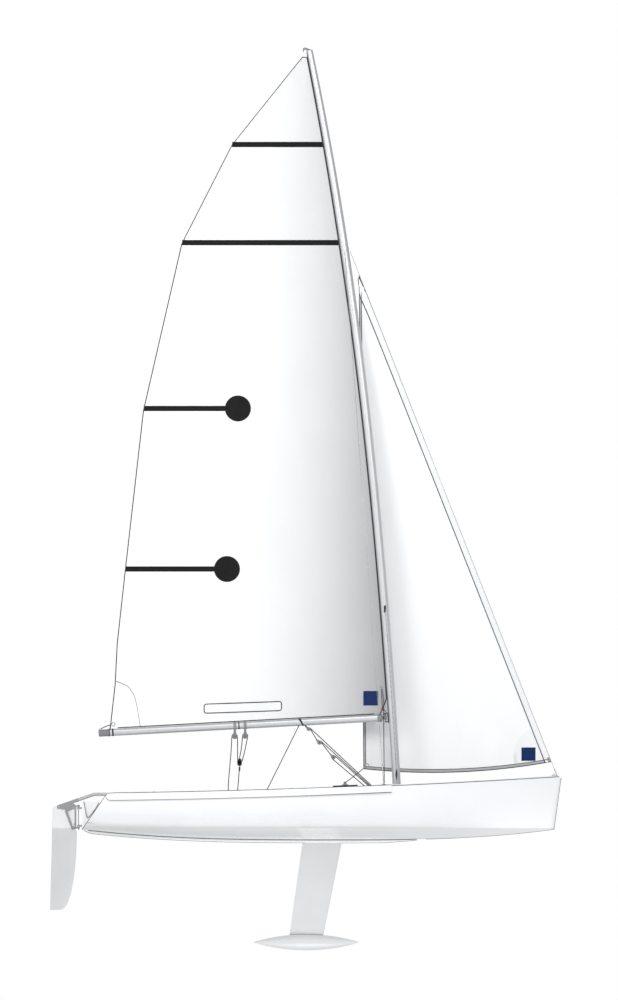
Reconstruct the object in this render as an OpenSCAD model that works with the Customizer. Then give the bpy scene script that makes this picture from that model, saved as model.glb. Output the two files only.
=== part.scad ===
// Sailing dinghy with a ballast keel: decked hull with an open cockpit, bent mast, boom, mainsail,
// jib and kick-up rudder. X points to the bow, Y to port and Z up. The origin is on the waterline,
// on the centreline, at the middle of the hull's length. Lengths are in millimetres.

/* [Hull] */
// Length of the hull
hull_length = 4640; // [3600:10:6000]
// Widest beam at the deck edge
beam = 1900; // [1500:10:2400]
// Beam at the stern
stern_beam = 1550; // [1200:10:2000]
// Depth of the canoe body below the waterline
hull_draft = 115; // [90:1:150]
// Height of the deck edge at mid length
sheer_height = 392; // [320:1:480]
// Rise of the bottom from its deepest point to the stern
stern_rise = 101; // [70:1:130]
// Rise of the bottom from its deepest point to the forefoot
bow_rise = 103; // [70:1:130]
// How far the stern slopes forward from its foot to the deck
stern_slope = 246; // [0:1:400]
// How far the stem leans forward from its foot to the deck
stem_lean = 72; // [0:1:200]

/* [Deck and cockpit] */
// Width of each side deck
side_deck = 330; // [240:5:420]
// Height of the cockpit floor above the waterline
floor_height = 70; // [40:1:110]
// Thickness of the cockpit liner
liner = 25; // [10:1:40]
// Thickness of the deck's edge
deck_edge = 10; // [6:1:20]
// Place of the bulkhead's foot
bulkhead_x = 820; // [700:5:1000]
// Depth of the rolled gunwale
gunwale_depth = 72; // [40:1:90]
// Thickness of the rolled gunwale
gunwale_t = 14; // [8:1:25]

/* [Keel] */
// Depth of the keel band below the bottom
band_depth = 27; // [15:1:40]
// Width of the keel band
band_w = 70; // [50:1:100]
// Chord of the fin at its root
fin_root = 379; // [300:1:460]
// Chord of the fin at the bulb
fin_tip = 328; // [260:1:400]
// How far the fin's leading edge is raked aft
fin_rake = 178; // [0:1:300]
// Thickness of the fin as a share of its chord
fin_thick = 0.11; // [0.08:0.01:0.16]
// Depth of the bulb's middle below the waterline
bulb_depth = 1106; // [800:1:1400]
// Length of the bulb
bulb_length = 1043; // [800:1:1300]
// Diameter of the bulb
bulb_d = 156; // [120:1:200]

/* [Mast and boom] */
// Height of the masthead above the waterline
mast_top = 7527; // [6000:1:8800]
// How far the masthead lies aft of the mast's foot
mast_rake = 860; // [400:1:1200]
// How far the mast bends forward at mid height
mast_bend = 139; // [0:1:200]
// Fore-and-aft depth of the mast
mast_depth = 80; // [60:1:100]
// Fore-and-aft depth of the mast at its head
mast_tip = 62; // [45:1:80]
// Width of the mast across the boat
mast_w = 60; // [45:1:80]
// Place of the mast's foot
mast_foot_x = 742; // [600:1:800]
// Length of the boom from its pin to its end
boom_length = 2780; // [2300:10:3200]
// Depth of the boom
boom_depth = 69; // [50:1:90]
// Width of the boom
boom_w = 50; // [40:1:70]
// Height of the boom's pin above the waterline
gooseneck_z = 1068; // [900:1:1300]
// Angle that the boom drops towards its end
boom_drop = 3.1; // [0:0.1:6]

/* [Sails] */
// Height of the mainsail's head
main_head_z = 7465; // [5900:1:8700]
// Thickness of the sails
sail_t = 5; // [4:0.5:10]
// Depth of the mainsail's camber as a share of its chord
main_camber = 0.09; // [0:0.01:0.14]
// Height of the jib's head
jib_head_z = 5380; // [4300:1:6200]
// Place of the jib's clew
jib_clew_x = 404; // [200:1:700]
// Height of the jib's clew
jib_clew_z = 571; // [520:1:800]
// Depth of the jib's camber as a share of its chord
jib_camber = 0.08; // [0:0.01:0.14]

/* [Stays] */
// Height of the hounds
hounds_z = 5595; // [4500:1:6500]
// Diameter of the stays
stay_d = 4; // [3:0.5:6]
// Place of the shrouds' chainplates
chainplate_x = 600; // [400:5:680]
// Distance of each chainplate from the deck's edge
chainplate_inset = 45; // [30:1:80]

/* [Rudder] */
// Distance of the rudder's axis aft of the stern
pintle_gap = 34; // [28:1:45]
// Radius of the pintle rod
pintle_r = 5; // [4:0.5:8]
// Chord of the rudder blade
blade_chord = 240; // [200:1:300]
// Depth of the blade's tip below the waterline
blade_depth = 794; // [600:1:950]
// Thickness of the blade's head
blade_t = 22; // [16:1:30]
// Diameter of the tiller
tiller_d = 33; // [25:1:40]
// Length of the tiller forward of the rudder's axis
tiller_length = 760; // [600:5:800]

/* [Fittings] */
// Radius of the lifting eye's hole
lift_eye_r = 12; // [8:0.5:16]
// Radius of the painter's eye on the bow fitting
painter_eye_r = 4.5; // [3:0.5:5]
// Clearance of a pin in its hole
pin_clear = 0.08; // [0.02:0.01:0.1]

/* [Hidden] */
$fn = 48;

seat = 0.3;                 // gap where a curved or faceted face lies on another
stern_x = -hull_length / 2;
stem_x = hull_length / 2;
forefoot_x = stem_x - stem_lean;
deepest_x = 200;            // where the bottom is deepest
widest_x = -300;            // where the beam is widest
stem_r = 20;                // half width of the stem
sheer_rise = 85;            // how much higher the deck edge is at the bow than at mid length
sheer_sweep = 31;           // how much both ends curve up
wall_slope = 40;            // how far the cockpit's walls lean in towards the floor
bulkhead_lean = 60;         // how far the bulkhead leans forward

function lerp(a, b, t) = a + (b - a) * t;
function clamp01(v) = min(1, max(0, v));
function backwards(list) = [for (i = [len(list) - 1:-1:0]) list[i]];
function mirrored(points) = [for (i = [len(points) - 1:-1:0]) [points[i].x, -points[i].y, points[i].z]];
function bezier(p, t) =
    pow(1 - t, 3) * p[0] + 3 * pow(1 - t, 2) * t * p[1] + 3 * (1 - t) * t * t * p[2] + pow(t, 3) * p[3];

// A closed solid through rings that all have the same number of points. The ends of a thin ring,
// whose second half runs back along its first, are closed by strips across it. Rings that run the
// other way round are turned.
module loft(rings, thin = false, turned = false) {
    n = len(rings[0]);
    last = len(rings) - 1;
    flat_cap = [for (j = [0:n - 1]) j];
    strip_cap = [for (j = [0:n / 2 - 2])
        each [[j, j + 1, n - 1 - j], [j + 1, n - 2 - j, n - 1 - j]]];
    caps = thin ? strip_cap : [flat_cap];
    faces = concat(
        [for (cap = caps) backwards(cap)],
        [for (i = [0:last - 1], j = [0:n - 1])
            each [[i * n + j, i * n + (j + 1) % n, (i + 1) * n + (j + 1) % n],
                  [i * n + j, (i + 1) * n + (j + 1) % n, (i + 1) * n + j]]],
        [for (cap = caps) [for (k = cap) last * n + k]]);
    polyhedron(
        points = [for (ring = rings) each ring],
        faces = turned ? [for (face = faces) backwards(face)] : faces,
        convexity = 8);
}

// A round bar between two points.
module bar(from, to, d) {
    v = to - from;
    translate(from)
        rotate([0, acos(v.z / norm(v)), atan2(v.y, v.x)])
            cylinder(d = d, h = norm(v));
}

// A plate across the boat with this outline in the X-Z plane.
module plate(outline, thickness, y = 0) {
    translate([0, y + thickness / 2, 0])
        rotate([90, 0, 0])
            linear_extrude(thickness) polygon(outline);
}

// A round bar across the boat.
module cross_bar(x, z, r, thickness, y = 0) {
    translate([x, y + thickness / 2, z])
        rotate([90, 0, 0]) cylinder(r = r, h = thickness);
}

// ---- Lines of the hull ----

function sheer_z(x) = sheer_height + sheer_rise * x / stem_x + sheer_sweep * pow(x / stem_x, 2);
function keel_z(x) = -hull_draft + (x > deepest_x
    ? bow_rise * pow((x - deepest_x) / (forefoot_x - deepest_x), 2.7)
    : stern_rise * pow((deepest_x - x) / (deepest_x - stern_x), 3));
function half_beam(x) = x > widest_x
    ? stem_r + (beam / 2 - stem_r) * (1 - pow(min(1, (x - widest_x) / (stem_x - widest_x)), 1.8))
    : beam / 2 - (beam - stern_beam) / 2 * pow((widest_x - x) / (widest_x - stern_x), 2);

// A station is named by where its foot meets the keel. It leans near the ends.
function share(foot) = clamp01((foot - stern_x) / (forefoot_x - stern_x));
function lean(foot) = stern_slope * pow(1 - share(foot), 8) + stem_lean * pow(share(foot), 8);
function head(foot) = foot + lean(foot);
function at_station(foot, y, z) = [
    foot + lean(foot) * (z - keel_z(foot)) / (sheer_z(head(foot)) - keel_z(foot)), y, z];

// The section from the keel land's edge to the deck edge, for t from 0 to 1.
function section(foot, t) =
    let(
        low = keel_z(foot),
        depth = sheer_z(head(foot)) - deck_edge - low,
        land = min(band_w / 2, half_beam(head(foot)) * 0.8),
        b = half_beam(head(foot)) - land,
        fine = pow(share(foot), 4),
        flat = lerp(0.62, 0.10, fine),
        rise = lerp(0.12, 1.2, fine))
    [land, low] + bezier([
        [0, 0],
        [b * flat, b * flat * rise],
        [b * lerp(0.97, 0.55, fine), depth * lerp(0.30, 0.42, fine)],
        [b, depth]], t);

section_steps = 12;
// How far a station is closed by the foredeck: on the deck's surface, and on the liner's back.
function closed(foot, behind) = clamp01((foot - bulkhead_x - behind) / bulkhead_lean);
function well_w(foot) = max(half_beam(head(foot)) - side_deck, 60);
// The four edges of the cockpit's well, on its surface (back = 0) or behind its liner.
function well_floor(foot, back) =
    let(c = closed(foot, back), top = sheer_z(head(foot)) - (back > 0 ? deck_edge : 0))
    [lerp(well_w(foot) - wall_slope + back, half_beam(head(foot)) * 0.2, c),
     lerp(floor_height - back, top, c)];
function well_top(foot, back) =
    let(c = closed(foot, back), top = sheer_z(head(foot)) - (back > 0 ? deck_edge : 0))
    [lerp(well_w(foot) + back, half_beam(head(foot)) * 0.5, c), top];

aft_steps = 18;
fore_steps = 12;
stations = concat(
    [for (i = [0:aft_steps]) lerp(stern_x, bulkhead_x, i / aft_steps)],
    [bulkhead_x + liner, bulkhead_x + bulkhead_lean],
    [for (i = [0:fore_steps]) lerp(bulkhead_x + bulkhead_lean + liner, forefoot_x, i / fore_steps)]);

function ring(foot, half) =
    let(points = [for (p = half) at_station(foot, p[0], p[1])])
    concat(points, mirrored(points));

module hull() {
    color("white")
        loft([for (foot = stations) ring(foot, concat(
            [for (i = [0:section_steps]) section(foot, i / section_steps)],
            [well_top(foot, liner), well_floor(foot, liner)]))]);
}

module deck() {
    color("white")
        loft([for (foot = stations)
            let(b = half_beam(head(foot)), top = sheer_z(head(foot)))
            ring(foot, [well_floor(foot, 0), well_top(foot, 0), [b, top],
                [b, top - deck_edge], well_top(foot, liner), well_floor(foot, liner)])],
            turned = true);
}

// The rolled edge outside the hull, from the stern to the shrouds.
gunwale_end = 720;
module gunwale() {
    color("white")
        loft([for (foot = stations) if (foot <= gunwale_end)
            let(
                b = half_beam(head(foot)),
                top = sheer_z(head(foot)),
                t = gunwale_t * (1 - 0.8 * pow((foot - stern_x) / (gunwale_end - stern_x), 4)))
            [at_station(foot, b + seat, top),
             at_station(foot, b + t * 0.6, top - 2),
             at_station(foot, b + t, top - gunwale_depth * 0.4),
             at_station(foot, b + t * 0.8, top - gunwale_depth),
             at_station(foot, b + seat, top - gunwale_depth)]]);
}
module gunwale_port() gunwale();
module gunwale_starboard() mirror([0, 1, 0]) gunwale();

// ---- Keel ----

band_end = 951;
module keel_band() {
    feet = [for (foot = stations) if (foot <= band_end) foot];
    color("white")
        loft([for (foot = feet)
            let(
                fade = min(1, (foot - stern_x) / 100, (band_end + 100 - foot) / 450),
                low = keel_z(foot),
                w = band_w / 2)
            [at_station(foot, w, low), at_station(foot, w * 0.8, low - 1 - band_depth * fade),
             at_station(foot, -w * 0.8, low - 1 - band_depth * fade), at_station(foot, -w, low)]]);
}

// Half thickness of a symmetric foil, for a unit chord.
function foil(u) = 5 * (0.2969 * sqrt(u) - 0.126 * u - 0.3516 * u * u + 0.2843 * pow(u, 3) - 0.1036 * pow(u, 4));
foil_steps = 14;
function foil_u(i) = (1 - cos(180 * i / foil_steps)) / 2;
fin_lead_x = 193;           // leading edge at the root
bulb_x = fin_lead_x - fin_rake - fin_tip / 2;
function bulb_r(x) = bulb_d / 2 * (1 - pow(2 * (x - bulb_x) / bulb_length, 2));
function bulb_top(x, y) = -bulb_depth + sqrt(max(1, pow(bulb_r(x), 2) - y * y));

// The fin's ring at share f of its height; its foot follows the bulb.
function fin_ring(f, root_z) =
    let(chord = lerp(fin_root, fin_tip, f), lead = fin_lead_x - fin_rake * f)
    [for (side = [1, -1], i = side > 0 ? [0:foil_steps] : [foil_steps:-1:0])
        let(
            x = lead - chord * foil_u(i),
            y = side * max(1, chord * fin_thick * foil(foil_u(i))),
            foot_z = bulb_top(x, 0) + seat)
        [x, y, lerp(root_z, foot_z, f)]];

module keel_fin() {
    root_z = keel_z(deepest_x) - band_depth - 1 - seat;
    color("gainsboro") loft([for (f = [0:0.25:1]) fin_ring(f, root_z)], thin = true);
}

bulb_steps = 20;
module keel_bulb() {
    profile = [for (i = [0:bulb_steps])
        let(x = -bulb_length / 2 * cos(180 * i / bulb_steps)) [bulb_r(bulb_x + x), x]];
    color("gainsboro")
        translate([bulb_x, 0, -bulb_depth]) rotate([0, 90, 0])
            rotate_extrude() polygon(concat([[0, -bulb_length / 2]],
                [for (p = profile) if (p[0] > 0.01) p], [[0, bulb_length / 2]]));
}

// The raised case over the fin's bolts, in the middle of the cockpit floor.
console_h = 90;
console_w = 150;
module keel_console() {
    aft = fin_lead_x - fin_root - 40;
    fore = fin_lead_x + 60;
    color("white")
        loft([for (level = [[0, 0], [0.75, 12], [1, 30]])
            let(z = floor_height + console_h * level[0], inset = level[1])
            [[fore - inset * 2, console_w / 2 - inset, z], [aft + inset, console_w / 2 - inset, z],
             [aft + inset, inset - console_w / 2, z], [fore - inset * 2, inset - console_w / 2, z]]]);
}

lift_eye_x = fin_lead_x - fin_root / 2;
lift_eye_z = floor_height + console_h + 42;
module lifting_eye() {
    foot_z = floor_height + console_h;
    color("silver") difference() {
        union() {
            translate([lift_eye_x - 40, -25, foot_z]) cube([80, 50, 6]);
            translate([lift_eye_x - lift_eye_r - 10, -5, foot_z + 5])
                cube([2 * lift_eye_r + 20, 10, lift_eye_z - foot_z - 5]);
            cross_bar(lift_eye_x, lift_eye_z, lift_eye_r + 10, 10);
        }
        cross_bar(lift_eye_x, lift_eye_z, lift_eye_r, 12);
    }
}

// ---- Mast ----

mast_foot_z = 130;
bend_skew = 0.35;           // puts the most bend a little above the middle
function mast_share(z) = (z - mast_foot_z) / (mast_top - mast_foot_z);
function mast_x(z) =
    let(t = mast_share(z))
    mast_foot_x - mast_rake * t + mast_bend * 4 * t * (1 - t) * (1 + bend_skew * (t - 0.5));
function mast_taper(z) = pow(clamp01((z - hounds_z) / (mast_top - hounds_z)), 1.5);
function mast_half(z) = lerp(mast_depth, mast_tip, mast_taper(z)) / 2;
function mast_half_w(z) = mast_w / 2 * mast_half(z) / (mast_depth / 2);

mast_sides = 24;
mast_steps = 36;
module mast() {
    color("silver")
        loft([for (i = [0:mast_steps])
            let(z = lerp(mast_foot_z, mast_top, i / mast_steps))
            [for (k = [0:mast_sides - 1])
                let(a = 360 * k / mast_sides)
                [mast_x(z) + mast_half(z) * cos(a), mast_half_w(z) * sin(a), z]]]);
}

module mast_step() {
    x = mast_x(mast_foot_z);
    color("dimgray")
        translate([x - mast_depth * 0.7, -mast_w * 0.9, floor_height])
            cube([mast_depth * 1.4, mast_w * 1.8, mast_foot_z - floor_height]);
}

module masthead_crane() {
    x = mast_x(mast_top);
    half = mast_half(mast_top);
    color("dimgray") {
        translate([x, 0, mast_top]) cylinder(r = half - 2, h = 6);
        plate([[x, mast_top + 4], [x + half - 8, mast_top + 4], [x - half - 12, mast_top + 30],
            [x - half - 34, mast_top + 22], [x - half - 34, mast_top - 14],
            [x - half - 24, mast_top - 14], [x - half - 20, mast_top + 6]], 24);
    }
}

function mast_back(z) = mast_x(z) - mast_half(z) - seat;
function mast_front(z) = mast_x(z) + mast_half(z) + seat;

// Plates that the stays are pinned to: one on each side of the mast and one on its front.
tang_half = 28;
module hounds_tangs() {
    low = hounds_z - tang_half;
    high = hounds_z + tang_half;
    color("silver") {
        for (side = [-1, 1])
            plate([[mast_x(low) - 14, low], [mast_x(low) + 14, low], [mast_x(high) + 10, high],
                [mast_x(high) - 10, high]], 4, side * (mast_w / 2 + seat + 2));
        plate([[mast_front(low), low], [mast_front(high), high], [mast_front(high) + 5, high],
            [mast_front(low) + 5, low]], 16);
    }
}

// ---- Stays ----

stay_top = [mast_front(hounds_z) + 5 + stay_d, 0, hounds_z - 6];
bow_lug = 12;               // how high the lugs stand that the stays are pinned to
chainplate_lug = 14;
bow_pin = [stem_x - 47, 0, sheer_z(stem_x - 47) + seat + bow_lug];
function chainplate(side) = [chainplate_x, side * (half_beam(chainplate_x) - chainplate_inset),
    sheer_z(chainplate_x) + seat + chainplate_lug];
function shroud_top(side) = [mast_x(hounds_z), side * (mast_w / 2 + 5 + stay_d / 2), hounds_z];

// A stay stops just short of the plates that it is pinned to.
stay_trim = 1;
module stay(from, to) {
    trim = stay_trim * (to - from) / norm(to - from);
    color("silver") bar(from + trim, to - trim, stay_d);
}
module forestay() stay(stay_top, bow_pin);
module shroud_port() stay(shroud_top(1), chainplate(1));
module shroud_starboard() stay(shroud_top(-1), chainplate(-1));

// Places a fitting on the deck, along its slope.
module on_deck(x, y) {
    slope = (sheer_z(x + 50) - sheer_z(x - 50)) / 100;
    translate([x, y, sheer_z(x) + seat]) rotate([0, -atan(slope), 0]) children();
}
// A base plate with a lug standing on it.
module deck_lug(length, width, lug_h) {
    translate([-length / 2, -width / 2, 0]) cube([length, width, 6]);
    translate([-12, -2, 5]) cube([24, 4, lug_h - 5]);
}
module chainplate_at(side) {
    color("silver") on_deck(chainplate_x, chainplate(side).y) deck_lug(60, 24, chainplate_lug);
}
module chainplate_port() chainplate_at(1);
module chainplate_starboard() chainplate_at(-1);
// The forestay's lug, with the painter's eye behind it.
eye_x = -26;                // from the forestay's lug
eye_h = 15;
module bow_fitting() {
    color("silver") on_deck(bow_pin.x, 0) {
        translate([-50, -11, 0]) cube([64, 22, 6]);
        translate([-8, -2, 5]) cube([16, 4, bow_lug - 5]);
        difference() {
            union() {
                cross_bar(eye_x, eye_h, painter_eye_r + 5, 6);
                translate([eye_x - painter_eye_r - 5, -3, 5])
                    cube([2 * painter_eye_r + 10, 6, eye_h - 5]);
            }
            cross_bar(eye_x, eye_h, painter_eye_r, 8);
        }
    }
}

// ---- Boom ----

pin_x = mast_x(gooseneck_z) - mast_depth / 2 - 30;
pin = [pin_x, 0, gooseneck_z];
luff_gap = 0.8;             // between the mast's back and the mainsail
function luff_x(z) = mast_x(z) - mast_half(z) - luff_gap;
luff_dir = [luff_x(main_head_z) - pin.x, 0, main_head_z - pin.z];
pin_tilt = atan2(luff_dir.x, luff_dir.z);
pin_r = 5;
pin_h = 90;
toggle_h = 40;

module on_pin() translate(pin) rotate([0, pin_tilt, 0]) children();
module along_boom() translate(pin) rotate([0, -boom_drop, 0]) mirror([1, 0, 0]) children();

module gooseneck_bracket() {
    low = pin.z - pin_h / 2 - 6;
    high = pin.z + pin_h / 2 + 6;
    color("dimgray") {
        on_pin() {
            translate([0, 0, 4 - pin_h / 2]) cylinder(r = pin_r, h = pin_h - 8);
            for (z = [-pin_h / 2, pin_h / 2 - 8])
                translate([0, 0, z]) {
                    cylinder(r = 12, h = 8);
                    translate([0, -8, 0]) cube([24, 16, 8]);
                }
        }
        plate([[mast_back(low), low], [mast_back(high), high], [mast_back(high) - 9, high],
            [mast_back(low) - 9, low]], 18);
    }
}

module boom_toggle() {
    color("dimgray") difference() {
        union() {
            on_pin() translate([0, 0, -toggle_h / 2]) cylinder(r = 13, h = toggle_h);
            along_boom() translate([0, -10, -15]) cube([36, 20, 30]);
        }
        on_pin() translate([0, 0, -toggle_h]) cylinder(r = pin_r + pin_clear, h = 2 * toggle_h);
    }
}

boom_start = 36;            // from the pin to the boom's front end
module oval(depth, width) {
    square([depth - width, width], center = true);
    for (side = [-1, 1]) translate([side * (depth - width) / 2, 0]) circle(d = width);
}
module boom_run(from, to, grow = 0) {
    translate([from, 0, 0]) rotate([0, 90, 0])
        linear_extrude(to - from) oval(boom_depth + grow, boom_w + grow);
}
cap_length = 100;
module boom() color("silver") along_boom() boom_run(boom_start, boom_length - cap_length);
module boom_end_cap() color("dimgray") along_boom() boom_run(boom_length - cap_length, boom_length);

// ---- Sails ----

// How far the leech stands aft of the straight line from clew to head, by share of its height.
main_roach = [[0, 0], [0.066, 75], [0.127, 168], [0.234, 291], [0.474, 560], [0.722, 651],
    [0.869, 438], [1, 0]];
main_rows = 34;
main_cols = 14;
head_w = 51;
foot_lift = boom_depth / 2 + seat;
function boom_top(d) = pin + [-d * cos(boom_drop) - foot_lift * sin(boom_drop), 0,
    foot_lift * cos(boom_drop) - d * sin(boom_drop)];
main_tack = boom_top(45);
main_clew = boom_top(boom_length - cap_length - 10);
tack_rise = 150;            // height over which the luff reaches the mast's back
function sail_shape(u) = sin(180 * pow(u, 0.8));

function main_luff(v) =
    let(z = lerp(main_tack.z, main_head_z, v), near = clamp01((z - main_tack.z) / tack_rise))
    [lerp(main_tack.x, luff_x(z), near), 0, z];
function main_leech(v) =
    let(z = lerp(main_clew.z, main_head_z, v))
    [lerp(main_clew.x, luff_x(main_head_z) - head_w, v) - lookup(v, main_roach), 0, z];
function main_point(u, v) =
    let(
        a = main_luff(v), b = main_leech(v), chord = a.x - b.x,
        full = 1 - pow(1 - clamp01(v / 0.25), 2),
        twist = 7 * v)
    [lerp(a.x, b.x, u), chord * (main_camber * full * sail_shape(u) + sin(twist) * u),
     lerp(a.z, b.z, u)];

// A closed solid of constant thickness about a grid of points.
module sail(grid) {
    cols = len(grid[0]);
    loft([for (row = grid) concat(
        [for (p = row) p + [0, sail_t / 2, 0]],
        [for (i = [cols - 1:-1:0]) row[i] - [0, sail_t / 2, 0]])], thin = true);
}

module mainsail() {
    color("white")
        sail([for (r = [0:main_rows]) [for (c = [0:main_cols])
            main_point(c / main_cols, r / main_rows)]]);
}

jib_rows = 28;
jib_cols = 10;
jib_tack_z = 640;
jib_skirt = 66;
jib_stay_gap = stay_d / 2 + 0.8;
function stay_x(z) = lerp(bow_pin.x, stay_top.x, (z - bow_pin.z) / (stay_top.z - bow_pin.z));
function jib_point(u, v) =
    let(
        luff_z = lerp(jib_tack_z, jib_head_z, v),
        leech_z = lerp(jib_clew_z, jib_head_z - 45, v),
        head_x = stay_x(jib_head_z) + 5,
        ax = stay_x(luff_z) - jib_stay_gap,
        bx = min(lerp(jib_clew_x, head_x, v), ax - 12),
        x = lerp(ax, bx, u),
        angle = lerp(9.5, 20, v))
    [x, tan(angle) * (ax - x) + (ax - bx) * jib_camber * sail_shape(u),
     lerp(luff_z, leech_z, u) - jib_skirt * 4 * u * (1 - u) * pow(1 - v, 8)];
module jib() {
    color("white")
        sail([for (r = [0:jib_rows]) [for (c = [0:jib_cols]) jib_point(c / jib_cols, r / jib_rows)]]);
}

// ---- Rudder ----

pintle_x = stern_x - pintle_gap;
stock_gap = blade_t / 2 + 1;    // from the centreline to a cheek's inner face
cheek_t = 5;
upper_z = 212;              // middle of the stock's upper lug
lower_z = 2;                // middle of the stock's lower lug
lug_h = 16;
gudgeon_h = 20;
bolt = [pintle_x - 191, 0, 206];
bolt_r = 6;

// Outlines are measured from the rudder's axis, aft being negative.
module from_axis() translate([pintle_x, 0, 0]) children();
cheek_outline = [[-20, 222], [-132, 178], [-130, 160], [-66, -14], [-20, -8]];
cheek_window = [[-34, 190], [-104, 160], [-56, 18], [-34, 18]];
module rudder_stock() {
    color("silver") {
        for (side = [-1, 1])
            from_axis() difference() {
                plate(cheek_outline, cheek_t, side * (stock_gap + cheek_t / 2));
                plate(cheek_window, cheek_t + 2, side * (stock_gap + cheek_t / 2));
            }
        for (z = [upper_z, lower_z])
            from_axis() difference() {
                union() {
                    translate([0, 0, z - lug_h / 2]) cylinder(r = 13, h = lug_h);
                    translate([-24, -stock_gap, z - lug_h / 2]) cube([20, 2 * stock_gap, lug_h]);
                }
                translate([0, 0, z - lug_h]) cylinder(r = pintle_r + pin_clear, h = 2 * lug_h);
            }
        socket();
    }
}

// The fork that carries the tiller and the blade's bolt.
module socket() {
    for (side = [-1, 1])
        from_axis() difference() {
            plate([[-206, 188], [-206, 220], [-1.8, 290.5], [9.2, 259.3], [-50, 238], [-20, 216],
                [-120, 176]], cheek_t, side * (stock_gap + cheek_t / 2));
            cross_bar(bolt.x - pintle_x, bolt.z, bolt_r, 60);
        }
    from_axis() plate([[-34, 244], [-34, 279], [-1.8, 290.5], [9.2, 259.3]], 2 * stock_gap);
}

module pintle_rod() {
    color("silver") from_axis() {
        translate([0, 0, lower_z - lug_h / 2 - 12])
            cylinder(r = pintle_r, h = upper_z - lower_z + lug_h + 18);
        translate([0, 0, upper_z + lug_h / 2 + seat]) cylinder(r = pintle_r + 4, h = 6);
    }
}

module tiller() {
    knee = [pintle_x + 149, 0, 326];
    root = [pintle_x + 4, 0, 275];
    color("gray") {
        bar(root, knee, tiller_d);
        translate(knee) sphere(r = tiller_d / 2 + 1.5);
        bar(knee, [pintle_x + tiller_length, 0, 326], tiller_d);
    }
}
extension_d = 24;
module tiller_extension() {
    y = (tiller_d + extension_d) / 2 + seat;
    color("dimgray")
        bar([pintle_x + 230, y, 326], [pintle_x + tiller_length - 10, y, 326], extension_d);
}
module blade_bolt() {
    color("dimgray") {
        cross_bar(bolt.x, bolt.z, bolt_r, 2 * (stock_gap + cheek_t));
        for (side = [-1, 1])
            cross_bar(bolt.x, bolt.z, bolt_r + 5, 6, side * (stock_gap + cheek_t + 3));
    }
}

// Leading edge of the blade below the stock, by depth: a quarter of an ellipse.
blade_aft = pintle_x - 250;
blade_lead = blade_aft + blade_chord - 6;
blade_steps = 16;
module rudder_blade() {
    rake = 27;              // how much further aft the blade's back is at its tip
    shoulder = 25;          // depth at which the leading edge begins to curve
    front = [for (i = [0:blade_steps])
        let(a = 90 * i / blade_steps)
        [lerp(blade_aft - rake + 98, blade_lead, pow(cos(a), 0.9)), -lerp(shoulder, blade_depth, sin(a))]];
    outline = concat(
        [[blade_aft - rake, -blade_depth], [blade_aft, 168]],
        [for (a = [15:15:90]) [blade_aft + 50 * (1 - cos(a)), 168 + 50 * sin(a)]],
        [[blade_lead - 26, 218], [blade_lead - 16, 190], [blade_lead - 16, -20]],
        front);
    color("white") difference() {
        plate(outline, blade_t);
        cross_bar(bolt.x, bolt.z, bolt_r + pin_clear, blade_t + 2);
    }
}

// ---- Stern ----

// The station through a point, found by repeated correction.
function foot_at(x, z, n = 8) =
    let(f = n > 0 ? foot_at(x, z, n - 1) : x)
    x - lean(f) * (z - keel_z(f)) / (sheer_z(head(f)) - keel_z(f));
// Half the cockpit's width at a point.
function wall_y(x, z) =
    let(f = foot_at(x, z), up = (z - floor_height) / (sheer_z(head(f)) - floor_height))
    well_w(f) - wall_slope * (1 - up);
// Where the sloping stern is at a height.
function stern_face(z) = stern_x
    + stern_slope * (z - keel_z(stern_x)) / (sheer_z(stern_x + stern_slope) - keel_z(stern_x)) - seat;

beam_x = stern_x + 170;
beam_top = 245;
beam_h = 40;
beam_w = 60;
post_top = 262;             // the tiller passes just above it
// The post that carries the gudgeons, its web and the beam between the side tanks.
module stern_gantry() {
    post_w = 60;
    web_w = 24;
    foot_z = keel_z(stern_x) + 6;
    low = wall_y(beam_x, beam_top - beam_h) - 1;
    high = wall_y(beam_x, beam_top) - 1;
    color("white") {
        plate([[stern_x, foot_z], [stern_x, post_top], [stern_x + 16, post_top], [stern_x + 45, 105],
            [stern_face(floor_height), floor_height], [stern_face(foot_z), foot_z]], post_w);
        plate([[stern_x + 10, 200], [stern_x + 10, post_top], [beam_x + 10, beam_top],
            [beam_x + 10, beam_top - beam_h], [stern_face(floor_height + 6), floor_height + 6],
            [stern_x + 40, 100]], web_w);
        translate([beam_x, 0, 0]) rotate([90, 0, 90])
            linear_extrude(beam_w) polygon([[-low, beam_top - beam_h], [low, beam_top - beam_h],
                [high, beam_top], [-high, beam_top]]);
    }
}

module gudgeons() {
    color("silver")
        for (z = [upper_z - lug_h / 2 - gudgeon_h / 2 - 1, lower_z + lug_h / 2 + gudgeon_h / 2 + 1])
            difference() {
                union() {
                    from_axis() translate([0, 0, z - gudgeon_h / 2]) cylinder(r = 12, h = gudgeon_h);
                    translate([pintle_x, -8, z - gudgeon_h / 2]) cube([pintle_gap, 16, gudgeon_h]);
                    translate([stern_x - 5, -24, z - gudgeon_h / 2]) cube([5, 48, gudgeon_h]);
                }
                from_axis() translate([0, 0, z - gudgeon_h]) cylinder(r = pintle_r + pin_clear, h = 2 * gudgeon_h);
            }
}

// ---- Cockpit fittings ----

sheet_x = -836;
module mainsheet_base() {
    color("dimgray") {
        translate([sheet_x, 0, floor_height]) cylinder(r = 60, h = 8);
        translate([sheet_x, 0, floor_height + 8]) cylinder(r1 = 40, r2 = 22, h = 60);
    }
}

fairlead_x = 228;
module fairlead(side) {
    color("dimgray") on_deck(fairlead_x, side * (well_w(fairlead_x) + 60))
        translate([-120, -12, 0]) cube([240, 24, 14]);
}
module jib_fairlead_port() fairlead(1);
module jib_fairlead_starboard() fairlead(-1);

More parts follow.
